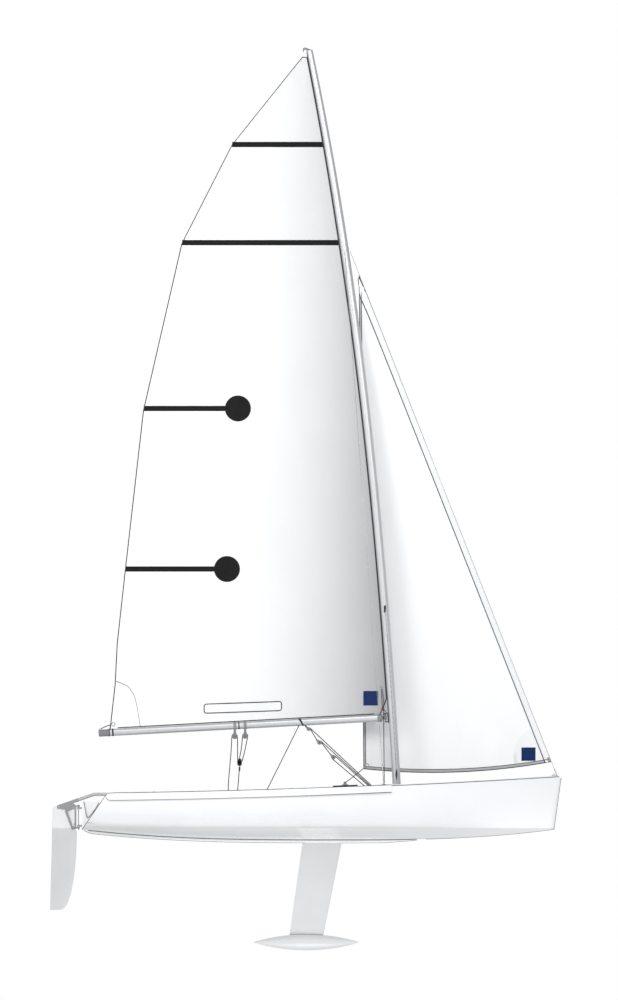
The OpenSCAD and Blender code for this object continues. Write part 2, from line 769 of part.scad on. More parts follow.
strap_h = 120;
module toe_strap(side) {
    y = side * 170;
    color("black") {
        translate([-1750, y - 25, floor_height + strap_h]) cube([1500, 50, 5]);
        for (x = [-1750, -255])
            translate([x, y - 25, floor_height]) cube([5, 50, strap_h]);
    }
}
module toe_strap_port() toe_strap(1);
module toe_strap_starboard() toe_strap(-1);

module bulkhead_hatch() {
    low = at_station(bulkhead_x, 0, floor_height);
    top_foot = bulkhead_x + bulkhead_lean;
    high = at_station(top_foot, 0, sheer_z(head(top_foot)));
    middle = lerp(low, high, 0.5);
    color("dimgray")
        translate([middle.x, 110, middle.z]) rotate([0, atan2(high.x - low.x, high.z - low.z) - 90, 0])
            translate([0, 0, seat]) cylinder(r = 62, h = 12);
}

hull();
deck();
gunwale_port();
gunwale_starboard();
keel_band();
keel_fin();
keel_bulb();
keel_console();
lifting_eye();
mast_step();
mast();
masthead_crane();
hounds_tangs();
forestay();
shroud_port();
shroud_starboard();
chainplate_port();
chainplate_starboard();
bow_fitting();
gooseneck_bracket();
stern_gantry();
gudgeons();
mainsheet_base();
jib_fairlead_port();
jib_fairlead_starboard();
toe_strap_port();
toe_strap_starboard();
bulkhead_hatch();
rudder_stock();
pintle_rod();
tiller();
tiller_extension();
blade_bolt();
rudder_blade();
boom();
boom_toggle();
boom_end_cap();
mainsail();
jib();
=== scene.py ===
"""Looks of the sailing dinghy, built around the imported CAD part. Lengths are in metres.
X points to the bow, Y to port and Z up, and the waterline is Z = 0."""
from math import cos, pi, radians, sin, sqrt, tan

import bmesh
import bpy
from mathutils import Matrix, Vector
from mathutils.geometry import delaunay_2d_cdt


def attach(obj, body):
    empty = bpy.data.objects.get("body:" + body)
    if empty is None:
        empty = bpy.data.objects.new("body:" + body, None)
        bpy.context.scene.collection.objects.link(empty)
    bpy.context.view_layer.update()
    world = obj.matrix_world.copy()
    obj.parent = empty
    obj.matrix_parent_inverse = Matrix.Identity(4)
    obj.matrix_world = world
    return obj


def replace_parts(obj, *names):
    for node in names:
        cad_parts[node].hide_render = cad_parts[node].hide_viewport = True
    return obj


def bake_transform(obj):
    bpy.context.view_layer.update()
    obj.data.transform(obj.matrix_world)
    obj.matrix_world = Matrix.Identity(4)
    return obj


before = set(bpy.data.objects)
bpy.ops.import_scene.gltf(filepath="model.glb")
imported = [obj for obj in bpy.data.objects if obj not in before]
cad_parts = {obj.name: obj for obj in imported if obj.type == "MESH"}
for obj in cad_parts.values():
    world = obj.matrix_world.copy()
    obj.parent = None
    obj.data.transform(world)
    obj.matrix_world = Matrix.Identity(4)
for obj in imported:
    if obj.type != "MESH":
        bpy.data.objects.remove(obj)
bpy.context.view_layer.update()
scene = bpy.context.scene
SIDES = ((1, "port"), (-1, "starboard"))
PORT = Vector((0, 1, 0))

# ---------------------------------------------------------------- camera, light and floor

PICTURE_HEIGHT = 9.68       # metres that the picture's long side covers
PICTURE_CENTRE = (-0.123, 3.175)

camera_data = bpy.data.cameras.new("camera")
camera_data.type = "ORTHO"
camera_data.ortho_scale = PICTURE_HEIGHT
camera_data.clip_end = 200
camera = bpy.data.objects.new("camera", camera_data)
camera.location = (PICTURE_CENTRE[0], -30, PICTURE_CENTRE[1])
camera.rotation_euler = (radians(90), 0, 0)
scene.collection.objects.link(camera)
scene.camera = camera
scene.view_settings.view_transform = "Standard"


def lerp(a, b, t):
    return a + (b - a) * t


def clamp01(v):
    return min(1.0, max(0.0, v))


def spread(a, b, n):
    """n even steps from a to b, both ends included."""
    return [lerp(a, b, i / n) for i in range(n + 1)]


def turns(n):
    """The angles of n even steps round a circle."""
    return [2 * pi * k / n for k in range(n)]


def area_light(name, place, target, size, watts):
    data = bpy.data.lights.new(name, "AREA")
    data.shape = "DISK"
    data.size = size
    data.energy = watts
    light = bpy.data.objects.new(name, data)
    light.location = place
    light.rotation_mode = "QUATERNION"
    light.rotation_quaternion = (Vector(target) - Vector(place)).to_track_quat("-Z", "Y")
    scene.collection.objects.link(light)


area_light("key", (2.5, -15, 8.5), (0, 0, 2.6), 7, 980)
area_light("fill", (-9, -12, 6), (-0.5, 0, 1.5), 7, 470)
area_light("back", (-4, 12, 9), (0, 0, 3), 7, 500)
area_light("below", (0, -4.5, -5.5), (0, 0, 0), 4, 200)

# The camera sees plain white, and the boat is lit by a fainter, cooler sky.
scene.world = bpy.data.worlds.new("studio")
scene.world.use_nodes = True
sky = scene.world.node_tree
sky.nodes.clear()
mix = sky.nodes.new("ShaderNodeMixShader")
for slot, colour, strength in ((1, (0.96, 0.98, 1, 1), 0.5), (2, (1, 1, 1, 1), 1.0)):
    light = sky.nodes.new("ShaderNodeBackground")
    light.inputs["Color"].default_value = colour
    light.inputs["Strength"].default_value = strength
    sky.links.new(light.outputs[0], mix.inputs[slot])
sky.links.new(sky.nodes.new("ShaderNodeLightPath").outputs["Is Camera Ray"], mix.inputs[0])
sky.links.new(mix.outputs[0], sky.nodes.new("ShaderNodeOutputWorld").inputs["Surface"])

# ---------------------------------------------------------------- materials


class Nodes:
    """A short way to write a material's nodes."""

    def __init__(self, name):
        self.material = bpy.data.materials.new(name)
        self.material.use_nodes = True
        self.tree = self.material.node_tree
        self.tree.nodes.clear()
        self.shader = self.add("ShaderNodeBsdfPrincipled")
        out = self.add("ShaderNodeOutputMaterial")
        self.link(self.shader.outputs[0], out.inputs["Surface"])
        self.place = self.add("ShaderNodeTexCoord").outputs["Object"]

    def add(self, kind, **values):
        node = self.tree.nodes.new(kind)
        for key, value in values.items():
            setattr(node, key, value)
        return node

    def link(self, a, b):
        self.tree.links.new(a, b)

    def set(self, **values):
        for key, value in values.items():
            self.shader.inputs[key.replace("_", " ")].default_value = value
        return self

    def scaled(self, scale, source=None):
        node = self.add("ShaderNodeMapping")
        node.inputs["Scale"].default_value = scale
        self.link(source or self.place, node.inputs["Vector"])
        return node.outputs[0]

    def noise(self, scale, detail=3.0, rough=0.5, source=None):
        node = self.add("ShaderNodeTexNoise")
        node.inputs["Scale"].default_value = scale
        node.inputs["Detail"].default_value = detail
        node.inputs["Roughness"].default_value = rough
        self.link(source or self.place, node.inputs["Vector"])
        return node.outputs["Fac"]

    def maths(self, operation, a, b=0.5, clamp=False):
        node = self.add("ShaderNodeMath", operation=operation, use_clamp=clamp)
        for i, value in enumerate((a, b)):
            if isinstance(value, (int, float)):
                node.inputs[i].default_value = value
            else:
                self.link(value, node.inputs[i])
        return node.outputs[0]

    def ramp(self, fac, low, high, start=0.3, end=0.7):
        node = self.add("ShaderNodeValToRGB")
        for element, at, colour in zip(node.color_ramp.elements, (start, end), (low, high)):
            element.position = at
            element.color = (*colour, 1) if hasattr(colour, "__len__") else (colour,) * 3 + (1,)
        self.link(fac, node.inputs[0])
        return node.outputs["Color"]

    def mixed(self, fac, a, b, blend="MIX"):
        node = self.add("ShaderNodeMix", data_type="RGBA", blend_type=blend)
        for i, value in ((0, fac), (6, a), (7, b)):
            if isinstance(value, (int, float)):
                node.inputs[i].default_value = value
            elif isinstance(value, tuple):
                node.inputs[i].default_value = (*value, 1)
            else:
                self.link(value, node.inputs[i])
        return node.outputs[2]

    def colour(self, socket):
        self.link(socket, self.shader.inputs["Base Color"])
        return self

    def rough(self, socket):
        self.link(socket, self.shader.inputs["Roughness"])
        return self

    def bump(self, height, distance, strength=0.5):
        node = self.add("ShaderNodeBump")
        node.inputs["Strength"].default_value = strength
        node.inputs["Distance"].default_value = distance
        self.link(height, node.inputs["Height"])
        self.link(node.outputs[0], self.shader.inputs["Normal"])
        return self

    def split(self, source=None):
        node = self.add("ShaderNodeSeparateXYZ")
        self.link(source or self.place, node.inputs[0])
        return node.outputs

    def wave(self, value, factor):
        return self.maths("SINE", self.maths("MULTIPLY", value, factor))


def tint(shade, factor, lift=0.0):
    return tuple(min(1, c * factor + lift) for c in shade)


def gelcoat(name, shade, low_rough=0.18, high_rough=0.25):
    """Polished moulded resin: faint clouding, a trace of orange peel and fine scuffs."""
    n = Nodes(name)
    cloud = n.noise(1.7, 4)
    n.colour(n.ramp(cloud, tint(shade, 0.965), shade))
    n.rough(n.ramp(n.noise(9, 3, 0.5), low_rough, high_rough))
    n.bump(n.noise(90, 2), 0.0003, 0.15)
    return n.set(Coat_Weight=0.35, Coat_Roughness=0.08, Specular_IOR_Level=0.5).material


def non_slip(name, shade):
    """Moulded diamond tread, a few millimetres across."""
    n = Nodes(name)
    x, y, _ = n.split()
    pitch = 620             # radians to the metre, for diamonds of 10 mm
    peak = n.maths("MULTIPLY", n.wave(n.maths("ADD", x, y), pitch), n.wave(n.maths("SUBTRACT", x, y), pitch))
    dirt = n.noise(6, 5, 0.65)
    # Painted shade: the colour darkens in the tread's hollows, where the diamond pattern is low.
    n.colour(n.mixed(0.5, n.ramp(peak, tint(shade, 0.86), shade, 0.2, 0.8),
                     n.ramp(dirt, tint(shade, 0.9), shade)))
    n.bump(peak, 0.0012, 0.7)
    return n.set(Roughness=0.55).material


def metal(name, shade, low, high, along=(1, 1, 1), grain=220):
    """Drawn or brushed metal, with its grain along one direction."""
    n = Nodes(name)
    streak = n.noise(grain, 3, 0.6, n.scaled(along))
    n.colour(n.mixed(0.5, n.ramp(streak, tint(shade, 0.88), shade),
                     n.ramp(n.noise(2.1, 4), tint(shade, 0.93), shade)))
    n.rough(n.ramp(streak, low, high))
    n.bump(streak, 0.0002, 0.3)
    return n.set(Metallic=0.75).material


def plastic(name, shade, rough=0.42):
    """Moulded plastic with a fine spark-eroded grain and lighter scuffs."""
    n = Nodes(name)
    worn = n.noise(60, 6, 0.75)
    n.colour(n.ramp(worn, shade, tint(shade, 1.6, 0.02), 0.5, 0.85))
    n.rough(n.ramp(n.noise(35, 3), rough - 0.08, rough + 0.12))
    n.bump(n.noise(1500, 2), 0.0003, 0.35)
    return n.set(Specular_IOR_Level=0.45).material


def weave(name, shade, pitch=0.0016, rough=0.8):
    """Woven webbing: crossed ribs, with a painted highlight that makes each lighter where it rises."""
    n = Nodes(name)
    x, y, z = n.split()
    turn = 2 * pi / pitch
    rib = n.maths("MULTIPLY", n.wave(n.maths("ADD", x, z), turn), n.wave(n.maths("ADD", y, z), turn))
    # Painted highlight: the colour is lighter on the ribs' crests.
    n.colour(n.ramp(rib, shade, tint(shade, 1.8, 0.01), 0.3, 0.9))
    n.bump(rib, 0.0005, 0.6)
    return n.set(Roughness=rough, Sheen_Weight=0.2).material


def rope_material(name, shade, fleck):
    """Braided rope. The UV map runs along the rope in metres, and once round it."""
    n = Nodes(name)
    uv = n.add("ShaderNodeUVMap", uv_map="rope").outputs[0]
    u, v, _ = n.split(uv)
    along = n.maths("MULTIPLY", u, 2 * pi / 0.009)
    round_it = n.maths("MULTIPLY", v, 2 * pi * 6)
    a = n.maths("SINE", n.maths("ADD", along, round_it))
    b = n.maths("SINE", n.maths("SUBTRACT", along, round_it))
    braid = n.maths("MAXIMUM", a, b)
    tracer = n.maths("GREATER_THAN", n.maths("SINE", n.maths("ADD", n.maths("MULTIPLY", u, 2 * pi / 0.05),
                     n.maths("MULTIPLY", v, 2 * pi))), 0.8)
    # Painted shade: the colour darkens in the grooves between the braid's strands, where the braid is low.
    n.colour(n.mixed(tracer, n.ramp(braid, tint(shade, 0.6), shade, 0.1, 0.9), fleck))
    n.bump(braid, 0.0008, 0.6)
    return n.set(Roughness=0.75, Sheen_Weight=0.15).material


THREADS = 2 * pi / 0.0011


def cloth(name, shade, graded, glint=0.35):
    """Resin-finished sailcloth: a fine square weave and soft creases.
    Where graded is above 0, a point attribute multiplies the colour: painted shade, darker towards the luff,
    standing in for the shade where the cloth turns from the light."""
    n = Nodes(name)
    x, y, z = n.split()
    thread = n.maths("MULTIPLY", n.wave(x, THREADS), n.wave(z, THREADS))
    crease = n.noise(3.2, 6, 0.62, n.scaled((1, 1, 0.45)))
    # Painted shade: the colour is a little darker where the crease pattern is low, in the creases' hollows.
    base = n.ramp(crease, tint(shade, 0.972), shade, 0.35, 0.65)
    if graded:
        # Painted shade: the colour is multiplied by a per-point factor that darkens it towards the luff.
        painted_luff_shade = n.add("ShaderNodeAttribute", attribute_name="painted_luff_shade").outputs["Fac"]
        base = n.mixed(1.0, base, n.ramp(painted_luff_shade, 0.0, 1.0, 0.0, 1.0), "MULTIPLY")
    n.colour(base)
    n.rough(n.ramp(n.noise(11, 4), 0.42, 0.58))
    height = n.maths("ADD", n.maths("MULTIPLY", thread, 0.05), crease)
    n.bump(height, 0.004, 0.35)
    return n.set(Specular_IOR_Level=glint, Sheen_Weight=0.15 * glint).material


def clear_film(name):
    """Clear window film, a little milky, with soft waves."""
    n = Nodes(name)
    n.colour(n.ramp(n.noise(5, 3), (0.86, 0.89, 0.9), (0.95, 0.97, 0.97)))
    n.bump(n.noise(14, 2), 0.003, 0.3)
    return n.set(Roughness=0.12, Alpha=0.35, Specular_IOR_Level=0.5).material


def foil_paint(name):
    n = Nodes(name)
    n.colour(n.ramp(n.noise(2.6, 5), (0.74, 0.745, 0.75), (0.80, 0.80, 0.805)))
    n.rough(n.ramp(n.noise(40, 5, 0.7), 0.28, 0.42))
    n.bump(n.noise(160, 3), 0.0005, 0.25)
    return n.set(Coat_Weight=0.15, Coat_Roughness=0.2).material


WHITE = (0.92, 0.925, 0.93)
MATERIALS = {
    "gelcoat": gelcoat("hull_gelcoat", WHITE),
    "deck": gelcoat("deck_gelcoat", (0.87, 0.875, 0.88), 0.3, 0.36),
    "tread": non_slip("non_slip_tread", (0.72, 0.73, 0.745)),
    "foil": foil_paint("foil_paint"),
    "mast": metal("mast_anodised", (0.60, 0.60, 0.61), 0.36, 0.48, (1, 1, 0.01)),
    "boom": metal("boom_anodised", (0.62, 0.62, 0.63), 0.36, 0.48, (0.01, 1, 1)),
    "tube": metal("tiller_anodised", (0.55, 0.55, 0.56), 0.34, 0.46, (0.01, 1, 1)),
    "frame": metal("stock_anodised", (0.33, 0.33, 0.34), 0.36, 0.5, (1, 1, 0.05)),
    "steel": metal("stainless", (0.48, 0.48, 0.49), 0.2, 0.36),
    "black": plastic("black_fitting", (0.022, 0.022, 0.024)),
    "grey": plastic("grey_fitting", (0.2, 0.2, 0.21)),
    "rubber": plastic("rubber", (0.035, 0.035, 0.037), 0.7),
    "webbing": weave("webbing", (0.018, 0.018, 0.02)),
    "strap": weave("grey_strap", (0.26, 0.26, 0.27)),
    "rope": rope_material("dark_rope", (0.025, 0.025, 0.027), (0.12, 0.12, 0.13)),
    "light_rope": rope_material("light_rope", (0.52, 0.53, 0.55), (0.06, 0.08, 0.16)),
    "sail": cloth("sailcloth", (0.93, 0.93, 0.935), True),
    "patch": cloth("corner_cloth", (0.88, 0.885, 0.89), False),
    "ink": cloth("black_sailcloth", (0.008, 0.0075, 0.008), False, 0.12),
    "edge": cloth("edge_tape", (0.045, 0.045, 0.047), False, 0.15),
    "tape": cloth("grey_tape", (0.42, 0.42, 0.43), False),
    "navy": cloth("navy_cloth", (0.004, 0.022, 0.105), False, 0.15),
    "red": plastic("red_fitting", (0.16, 0.025, 0.022)),
    "carbon": metal("extension_tube", (0.05, 0.05, 0.053), 0.35, 0.5, (0.01, 1, 1)),
    "film": clear_film("window_film"),
}

# ---------------------------------------------------------------- building meshes


def piece(name, points, faces, material, sharp=32, weld=1e-6):
    """A new object from points and faces, with smooth shading between its sharp edges."""
    mesh = bpy.data.meshes.new(name)
    bm = bmesh.new()
    verts = [bm.verts.new(p) for p in points]
    for face in faces:
        if len(set(face)) > 2:
            try:
                bm.faces.new([verts[i] for i in face])
            except ValueError:
                pass
    bmesh.ops.remove_doubles(bm, verts=bm.verts, dist=weld)
    bmesh.ops.dissolve_degenerate(bm, edges=bm.edges, dist=weld)
    loose = [v for v in bm.verts if not v.link_faces]
    bmesh.ops.delete(bm, geom=loose, context="VERTS")
    bmesh.ops.recalc_face_normals(bm, faces=bm.faces)
    bm.to_mesh(mesh)
    bm.free()
    return dressed(name, mesh, material, sharp)


def dressed(name, mesh, material, sharp=32):
    mesh.shade_smooth()
    mesh.set_sharp_from_angle(angle=radians(sharp))
    mesh.materials.append(MATERIALS[material])
    obj = bpy.data.objects.new(name, mesh)
    scene.collection.objects.link(obj)
    return obj


def loft_faces(rows, cols, ring=True, caps=True):
    """Faces of a skin over rows of points; ring closes each row on itself."""
    faces = []
    for i in range(rows - 1):
        for j in range(cols if ring else cols - 1):
            k = (j + 1) % cols
            faces.append((i * cols + j, i * cols + k, (i + 1) * cols + k, (i + 1) * cols + j))
    if caps:
        faces.append(tuple(range(cols - 1, -1, -1)))
        faces.append(tuple((rows - 1) * cols + j for j in range(cols)))
    return faces


def loft(name, rings, material, body, sharp=32, caps=True):
    points = [p for ring in rings for p in ring]
    obj = piece(name, points, loft_faces(len(rings), len(rings[0]), True, caps), material, sharp)
    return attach(obj, body) if body else obj


def open_section(name, rings, material, body, sharp):
    """A loft along X whose first end is a deeply hollowed shape, filled triangle by triangle."""
    n = len(rings[0])
    flat = [Vector((p.y, p.z)) for p in rings[0]]
    filled = delaunay_2d_cdt(flat, [(i, (i + 1) % n) for i in range(n)], [], 1, 1e-7)
    source = filled[3]
    end = [tuple(source[i][0] for i in face) for face in filled[2] if all(source[i] for i in face)]
    faces = loft_faces(len(rings), n, True, False) + end
    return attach(piece(name, [p for ring in rings for p in ring], faces, material, sharp), body)


def frames(path):
    """A right-hand frame at each point of a path, turned as little as possible."""
    tangents = []
    for i in range(len(path)):
        a, b = path[max(i - 1, 0)], path[min(i + 1, len(path) - 1)]
        tangents.append((b - a).normalized())
    side = tangents[0].cross(Vector((0.13, 1, 0.2))).normalized()
    out = []
    for t in tangents:
        side = (side - t * side.dot(t)).normalized()
        out.append((t, side, t.cross(side)))
    return out


def curve_through(points, steps=8):
    """A smooth path through points (Catmull-Rom)."""
    pts = [Vector(p) for p in points]
    if len(pts) < 3:
        return [pts[0].lerp(pts[1], i / steps) for i in range(steps + 1)]
    ends = [pts[0] * 2 - pts[1]] + pts + [pts[-1] * 2 - pts[-2]]
    path = []
    for k in range(len(pts) - 1):
        a, b, c, d = ends[k:k + 4]
        for i in range(steps):
            t = i / steps
            path.append(0.5 * ((2 * b) + (c - a) * t + (2 * a - 5 * b + 4 * c - d) * t * t
                               + (3 * b - a - 3 * c + d) * t ** 3))
    return path + [pts[-1]]


def rope(name, points, radius, material, body=None, steps=8, sides=10):
    """A rope or wire along a path, with a UV map for its braid."""
    path = curve_through(points, steps)
    rings, lengths, run = [], [], 0.0
    for i, (p, (t, a, b)) in enumerate(zip(path, frames(path))):
        run += (p - path[i - 1]).length if i else 0
        lengths.append(run)
        rings.append([p + (a * cos(w) + b * sin(w)) * radius for w in turns(sides)])
    mesh = bpy.data.meshes.new(name)
    points = [q for ring in rings for q in ring]
    mesh.from_pydata(points, [], loft_faces(len(rings), sides))
    uv = mesh.uv_layers.new(name="rope")
    for poly in mesh.polygons:
        places = {v % sides for v in poly.vertices}
        wraps = len(poly.vertices) == 4 and {0, sides - 1} <= places
        for loop in poly.loop_indices:
            v = mesh.loops[loop].vertex_index
            turn = sides if wraps and v % sides == 0 else v % sides
            uv.data[loop].uv = (lengths[v // sides], turn / sides)
    obj = dressed(name, mesh, material, 50)
    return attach(obj, body) if body else obj


class Kit:
    """Small bevelled parts gathered into one piece."""

    def __init__(self):
        self.bm = bmesh.new()

    def _aim(self, made, a, b):
        a, b = Vector(a), Vector(b)
        turn = (b - a).to_track_quat("Z", "Y").to_matrix().to_4x4()
        bmesh.ops.transform(self.bm, matrix=Matrix.Translation((a + b) / 2) @ turn, verts=made)

    def rod(self, a, b, r, r2=None, sides=24):
        depth = (Vector(b) - Vector(a)).length
        made = bmesh.ops.create_cone(self.bm, cap_ends=True, segments=sides, radius1=r,
                                     radius2=r if r2 is None else r2, depth=depth)["verts"]
        self._aim(made, a, b)
        return self

    def block(self, centre, size, turn=0.0, axis="Y"):
        made = bmesh.ops.create_cube(self.bm, size=1)["verts"]
        matrix = Matrix.Translation(centre) @ Matrix.Rotation(turn, 4, axis) @ Matrix.Diagonal((*size, 1))
        bmesh.ops.transform(self.bm, matrix=matrix, verts=made)
        return self

    def ring(self, centre, normal, big, small, sides=28, around=10):
        turn = Vector(normal).to_track_quat("Z", "Y").to_matrix()
        verts = []
        for a in turns(sides):
            for b in turns(around):
                reach = big + small * cos(b)
                p = Vector((reach * cos(a), reach * sin(a), small * sin(b)))
                verts.append(self.bm.verts.new(Vector(centre) + turn @ p))
        for i in range(sides):
            for j in range(around):
                k, m = (i + 1) % sides * around, (j + 1) % around
                corners = i * around + j, k + j, k + m, i * around + m
                self.bm.faces.new([verts[c] for c in corners])
        return self

    def done(self, name, material, body=None, bevel=0.001, sharp=32):
        bmesh.ops.recalc_face_normals(self.bm, faces=self.bm.faces)
        mesh = bpy.data.meshes.new(name)
        self.bm.to_mesh(mesh)
        self.bm.free()
        obj = dressed(name, mesh, material, sharp)
        if bevel:
            edges(obj, bevel)
        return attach(obj, body) if body else obj


def edges(obj, width, segments=2):
    """Rounds an object's hard edges a little, so that they catch the light."""
    bevel = obj.modifiers.new("edges", "BEVEL")
    bevel.width = width
    bevel.segments = segments
    bevel.limit_method = "ANGLE"
    bevel.angle_limit = radians(35)
    normals = obj.modifiers.new("normals", "WEIGHTED_NORMAL")
    normals.keep_sharp = True
    return obj


def polish(node, material, width):
    """Gives a CAD node its material and small rounded edges."""
    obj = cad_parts[node]
    mesh = obj.data
    if "custom_normal" in mesh.attributes:
        mesh.attributes.remove(mesh.attributes["custom_normal"])
    mesh.materials.clear()
    mesh.materials.append(MATERIALS[material])
    mesh.shade_smooth()
    weld = obj.modifiers.new("weld", "WELD")
    weld.merge_threshold = 1e-5
    if width:
        edges(obj, width)
    return obj


floor_mesh = bpy.data.meshes.new("floor")
floor_mesh.from_pydata([(-60, -60, 0), (60, -60, 0), (60, 60, 0), (-60, 60, 0)], [], [(0, 1, 2, 3)])
floor = bpy.data.objects.new("floor", floor_mesh)
floor_nodes = Nodes("floor")
floor_nodes.colour(floor_nodes.ramp(floor_nodes.noise(0.8, 3), (0.72, 0.73, 0.74), (0.76, 0.77, 0.78)))
floor_nodes.set(Roughness=0.8, Emission_Color=(1, 1, 1, 1), Emission_Strength=0.32)
floor_mesh.materials.append(floor_nodes.material)
scene.collection.objects.link(floor)

# ---------------------------------------------------------------- lines of the hull

STERN_X, STEM_X = -2.32, 2.32
STEM_LEAN, STERN_SLOPE = 0.072, 0.246
FOREFOOT_X = STEM_X - STEM_LEAN
DEEPEST_X, WIDEST_X, KEEL_DEPTH = 0.2, -0.3, 0.115
HALF, STERN_HALF, STEM_R = 0.95, 0.775, 0.02
BULKHEAD_X, BULKHEAD_LEAN = 0.82, 0.06
SIDE_DECK, FLOOR_Z, LINER, DECK_EDGE, WALL_SLOPE = 0.33, 0.07, 0.025, 0.01, 0.04
BAND_W, BAND_DEPTH, BAND_END = 0.07, 0.027, 0.951
BOW_R = 0.04


def sheer_z(x):
    return 0.392 + 0.085 * x / STEM_X + 0.031 * (x / STEM_X) ** 2


def keel_z(x):
    if x > DEEPEST_X:
        return -KEEL_DEPTH + 0.103 * ((x - DEEPEST_X) / (FOREFOOT_X - DEEPEST_X)) ** 2.7
    return -KEEL_DEPTH + 0.101 * ((DEEPEST_X - x) / (DEEPEST_X - STERN_X)) ** 3


def half_beam(x):
    if x > WIDEST_X:
        return STEM_R + (HALF - STEM_R) * (1 - min(1, (x - WIDEST_X) / (STEM_X - WIDEST_X)) ** 1.8)
    return HALF - (HALF - STERN_HALF) * ((WIDEST_X - x) / (WIDEST_X - STERN_X)) ** 2


def share(foot):
    """How far along the keel line a station is, from the stern at 0."""
    return clamp01((foot - STERN_X) / (FOREFOOT_X - STERN_X))


def lean(foot):
    return STERN_SLOPE * (1 - share(foot)) ** 8 + STEM_LEAN * share(foot) ** 8


def head(foot):
    return foot + lean(foot)


def bow_cap(x):
    """How much the bow's top corner is rounded off."""
    over = clamp01((x - (STEM_X - BOW_R)) / BOW_R)
    return BOW_R * (1 - sqrt(1 - over * over))


def stern_cap(x):
    over = clamp01((-1.99 - x) / 0.09)
    return 0.014 * over * over


def at_station(foot, y, z):
    """A point of the station that meets the keel line at X = foot, and leans with the stern or stem."""
    x = foot + lean(foot) * (z - keel_z(foot)) / (sheer_z(head(foot)) - keel_z(foot))
    top = sheer_z(head(foot)) - bow_cap(x) - stern_cap(x)
    past = clamp01((foot - (FOREFOOT_X - STEM_R)) / STEM_R)
    return Vector((x, y * sqrt(1 - past * past), min(z, top)))


def well_w(foot):
    return max(half_beam(head(foot)) - SIDE_DECK, 0.06)


def closed(foot, behind):
    """0 in the open well, rising to 1 forward of the leaning bulkhead."""
    return clamp01((foot - BULKHEAD_X - behind) / BULKHEAD_LEAN)


def well_floor(foot, back):
    """Where the cockpit well's floor meets its wall; back is 0 on the deck's skin, or its thickness."""
    c, top = closed(foot, back), sheer_z(head(foot)) - (DECK_EDGE if back else 0)
    return (lerp(well_w(foot) - WALL_SLOPE + back, half_beam(head(foot)) * 0.2, c),
            lerp(FLOOR_Z - back, top, c))


def well_top(foot, back):
    c, top = closed(foot, back), sheer_z(head(foot)) - (DECK_EDGE if back else 0)
    return lerp(well_w(foot) + back, half_beam(head(foot)) * 0.5, c), top


def section(foot, t):
    """The hull's section from the keel land's edge, at t = 0, to the deck edge."""
    low = keel_z(foot)
    depth = sheer_z(head(foot)) - DECK_EDGE - low
    land = min(BAND_W / 2, half_beam(head(foot)) * 0.8)
    b = half_beam(head(foot)) - land
    fine = share(foot) ** 4
    flat, rise = lerp(0.62, 0.10, fine), lerp(0.12, 1.2, fine)
    ys = (0, b * flat, b * lerp(0.97, 0.55, fine), b)
    zs = (0, b * flat * rise, depth * lerp(0.30, 0.42, fine), depth)
    weights = ((1 - t) ** 3, 3 * (1 - t) ** 2 * t, 3 * (1 - t) * t * t, t ** 3)
    return (land + sum(w * y for w, y in zip(weights, ys)),
            low + sum(w * z for w, z in zip(weights, zs)))


FEET = (spread(STERN_X, -1.9, 14)[:-1] + spread(-1.9, BULKHEAD_X, 56)
        + [BULKHEAD_X + s for s in (0.0125, 0.025, 0.0375, 0.05, 0.06, 0.0725, 0.085)]
        + spread(0.92, 2.0, 24) + spread(2.0, FOREFOOT_X - STEM_R, 12)[1:]
        + [FOREFOOT_X - STEM_R * (1 - sin(pi / 2 * i / 7)) for i in range(1, 8)])


def fillet(points, radii, n=5):
    """A polyline with its inner corners rounded, always with the same number of points."""
    pts = [Vector(p) for p in points]
    out = [pts[0]]
    for i in range(1, len(pts) - 1):
        r = radii[i - 1]
        a, b, c = pts[i - 1], pts[i], pts[i + 1]
        before, after = a - b, c - b
        r = min(r, before.length * 0.45, after.length * 0.45)
        if before.length < 1e-6 or after.length < 1e-6:
            out += [b] * (n + 1)
            continue
        p, q = b + before.normalized() * r, b + after.normalized() * r
        for k in range(n + 1):
            t = k / n
            out.append(p * (1 - t) ** 2 + b * 2 * t * (1 - t) + q * t * t)
    return out + [pts[-1]]


def ring(foot, half):
    points = [at_station(foot, y, z) for y, z in half]
    return points + [Vector((p.x, -p.y, p.z)) for p in reversed(points)]


SECTION_STEPS = 30


def hull_half(foot):
    outside = [section(foot, t) for t in spread(0, 1, SECTION_STEPS)]
    return outside + [well_top(foot, LINER), well_floor(foot, LINER)]


hull = open_section("hull_shell", [ring(foot, hull_half(foot)) for foot in FEET], "gelcoat", "hull", 28)
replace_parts(hull, "hull")


def deck_half(foot):
    b, top = half_beam(head(foot)), sheer_z(head(foot))
    is_open = 1 - closed(foot, 0)
    line = fillet([(0, well_floor(foot, 0)[1]), well_floor(foot, 0), well_top(foot, 0), (b, top),
                   (b, top - DECK_EDGE)], (0.03 * is_open + 0.002, 0.022 * is_open + 0.002, 0.006))
    return [tuple(p) for p in line] + [well_top(foot, LINER), well_floor(foot, LINER)]


deck = open_section("deck_moulding", [ring(foot, deck_half(foot)[1:]) for foot in FEET], "deck", "hull", 28)
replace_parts(deck, "deck")


GUNWALE_END, GUNWALE_T, GUNWALE_DEPTH = 0.72, 0.014, 0.072
GUNWALE_FEET = [f for f in FEET if STERN_X + 0.004 < f <= GUNWALE_END]


def gunwale_size(foot):
    """How far the rolled gunwale stands out of the topsides, and how deep it is."""
    along = foot - STERN_X
    out = GUNWALE_T * (1 - 0.85 * (along / (GUNWALE_END - STERN_X)) ** 4) * min(1, sqrt(along / 0.06))
    return out, GUNWALE_DEPTH * min(1, 0.25 + 0.75 * sqrt(along / 0.10))


def deck_edge(foot, out, down):
    """A point out of and below the deck's edge."""
    return at_station(foot, half_beam(head(foot)) + out, sheer_z(head(foot)) - down)


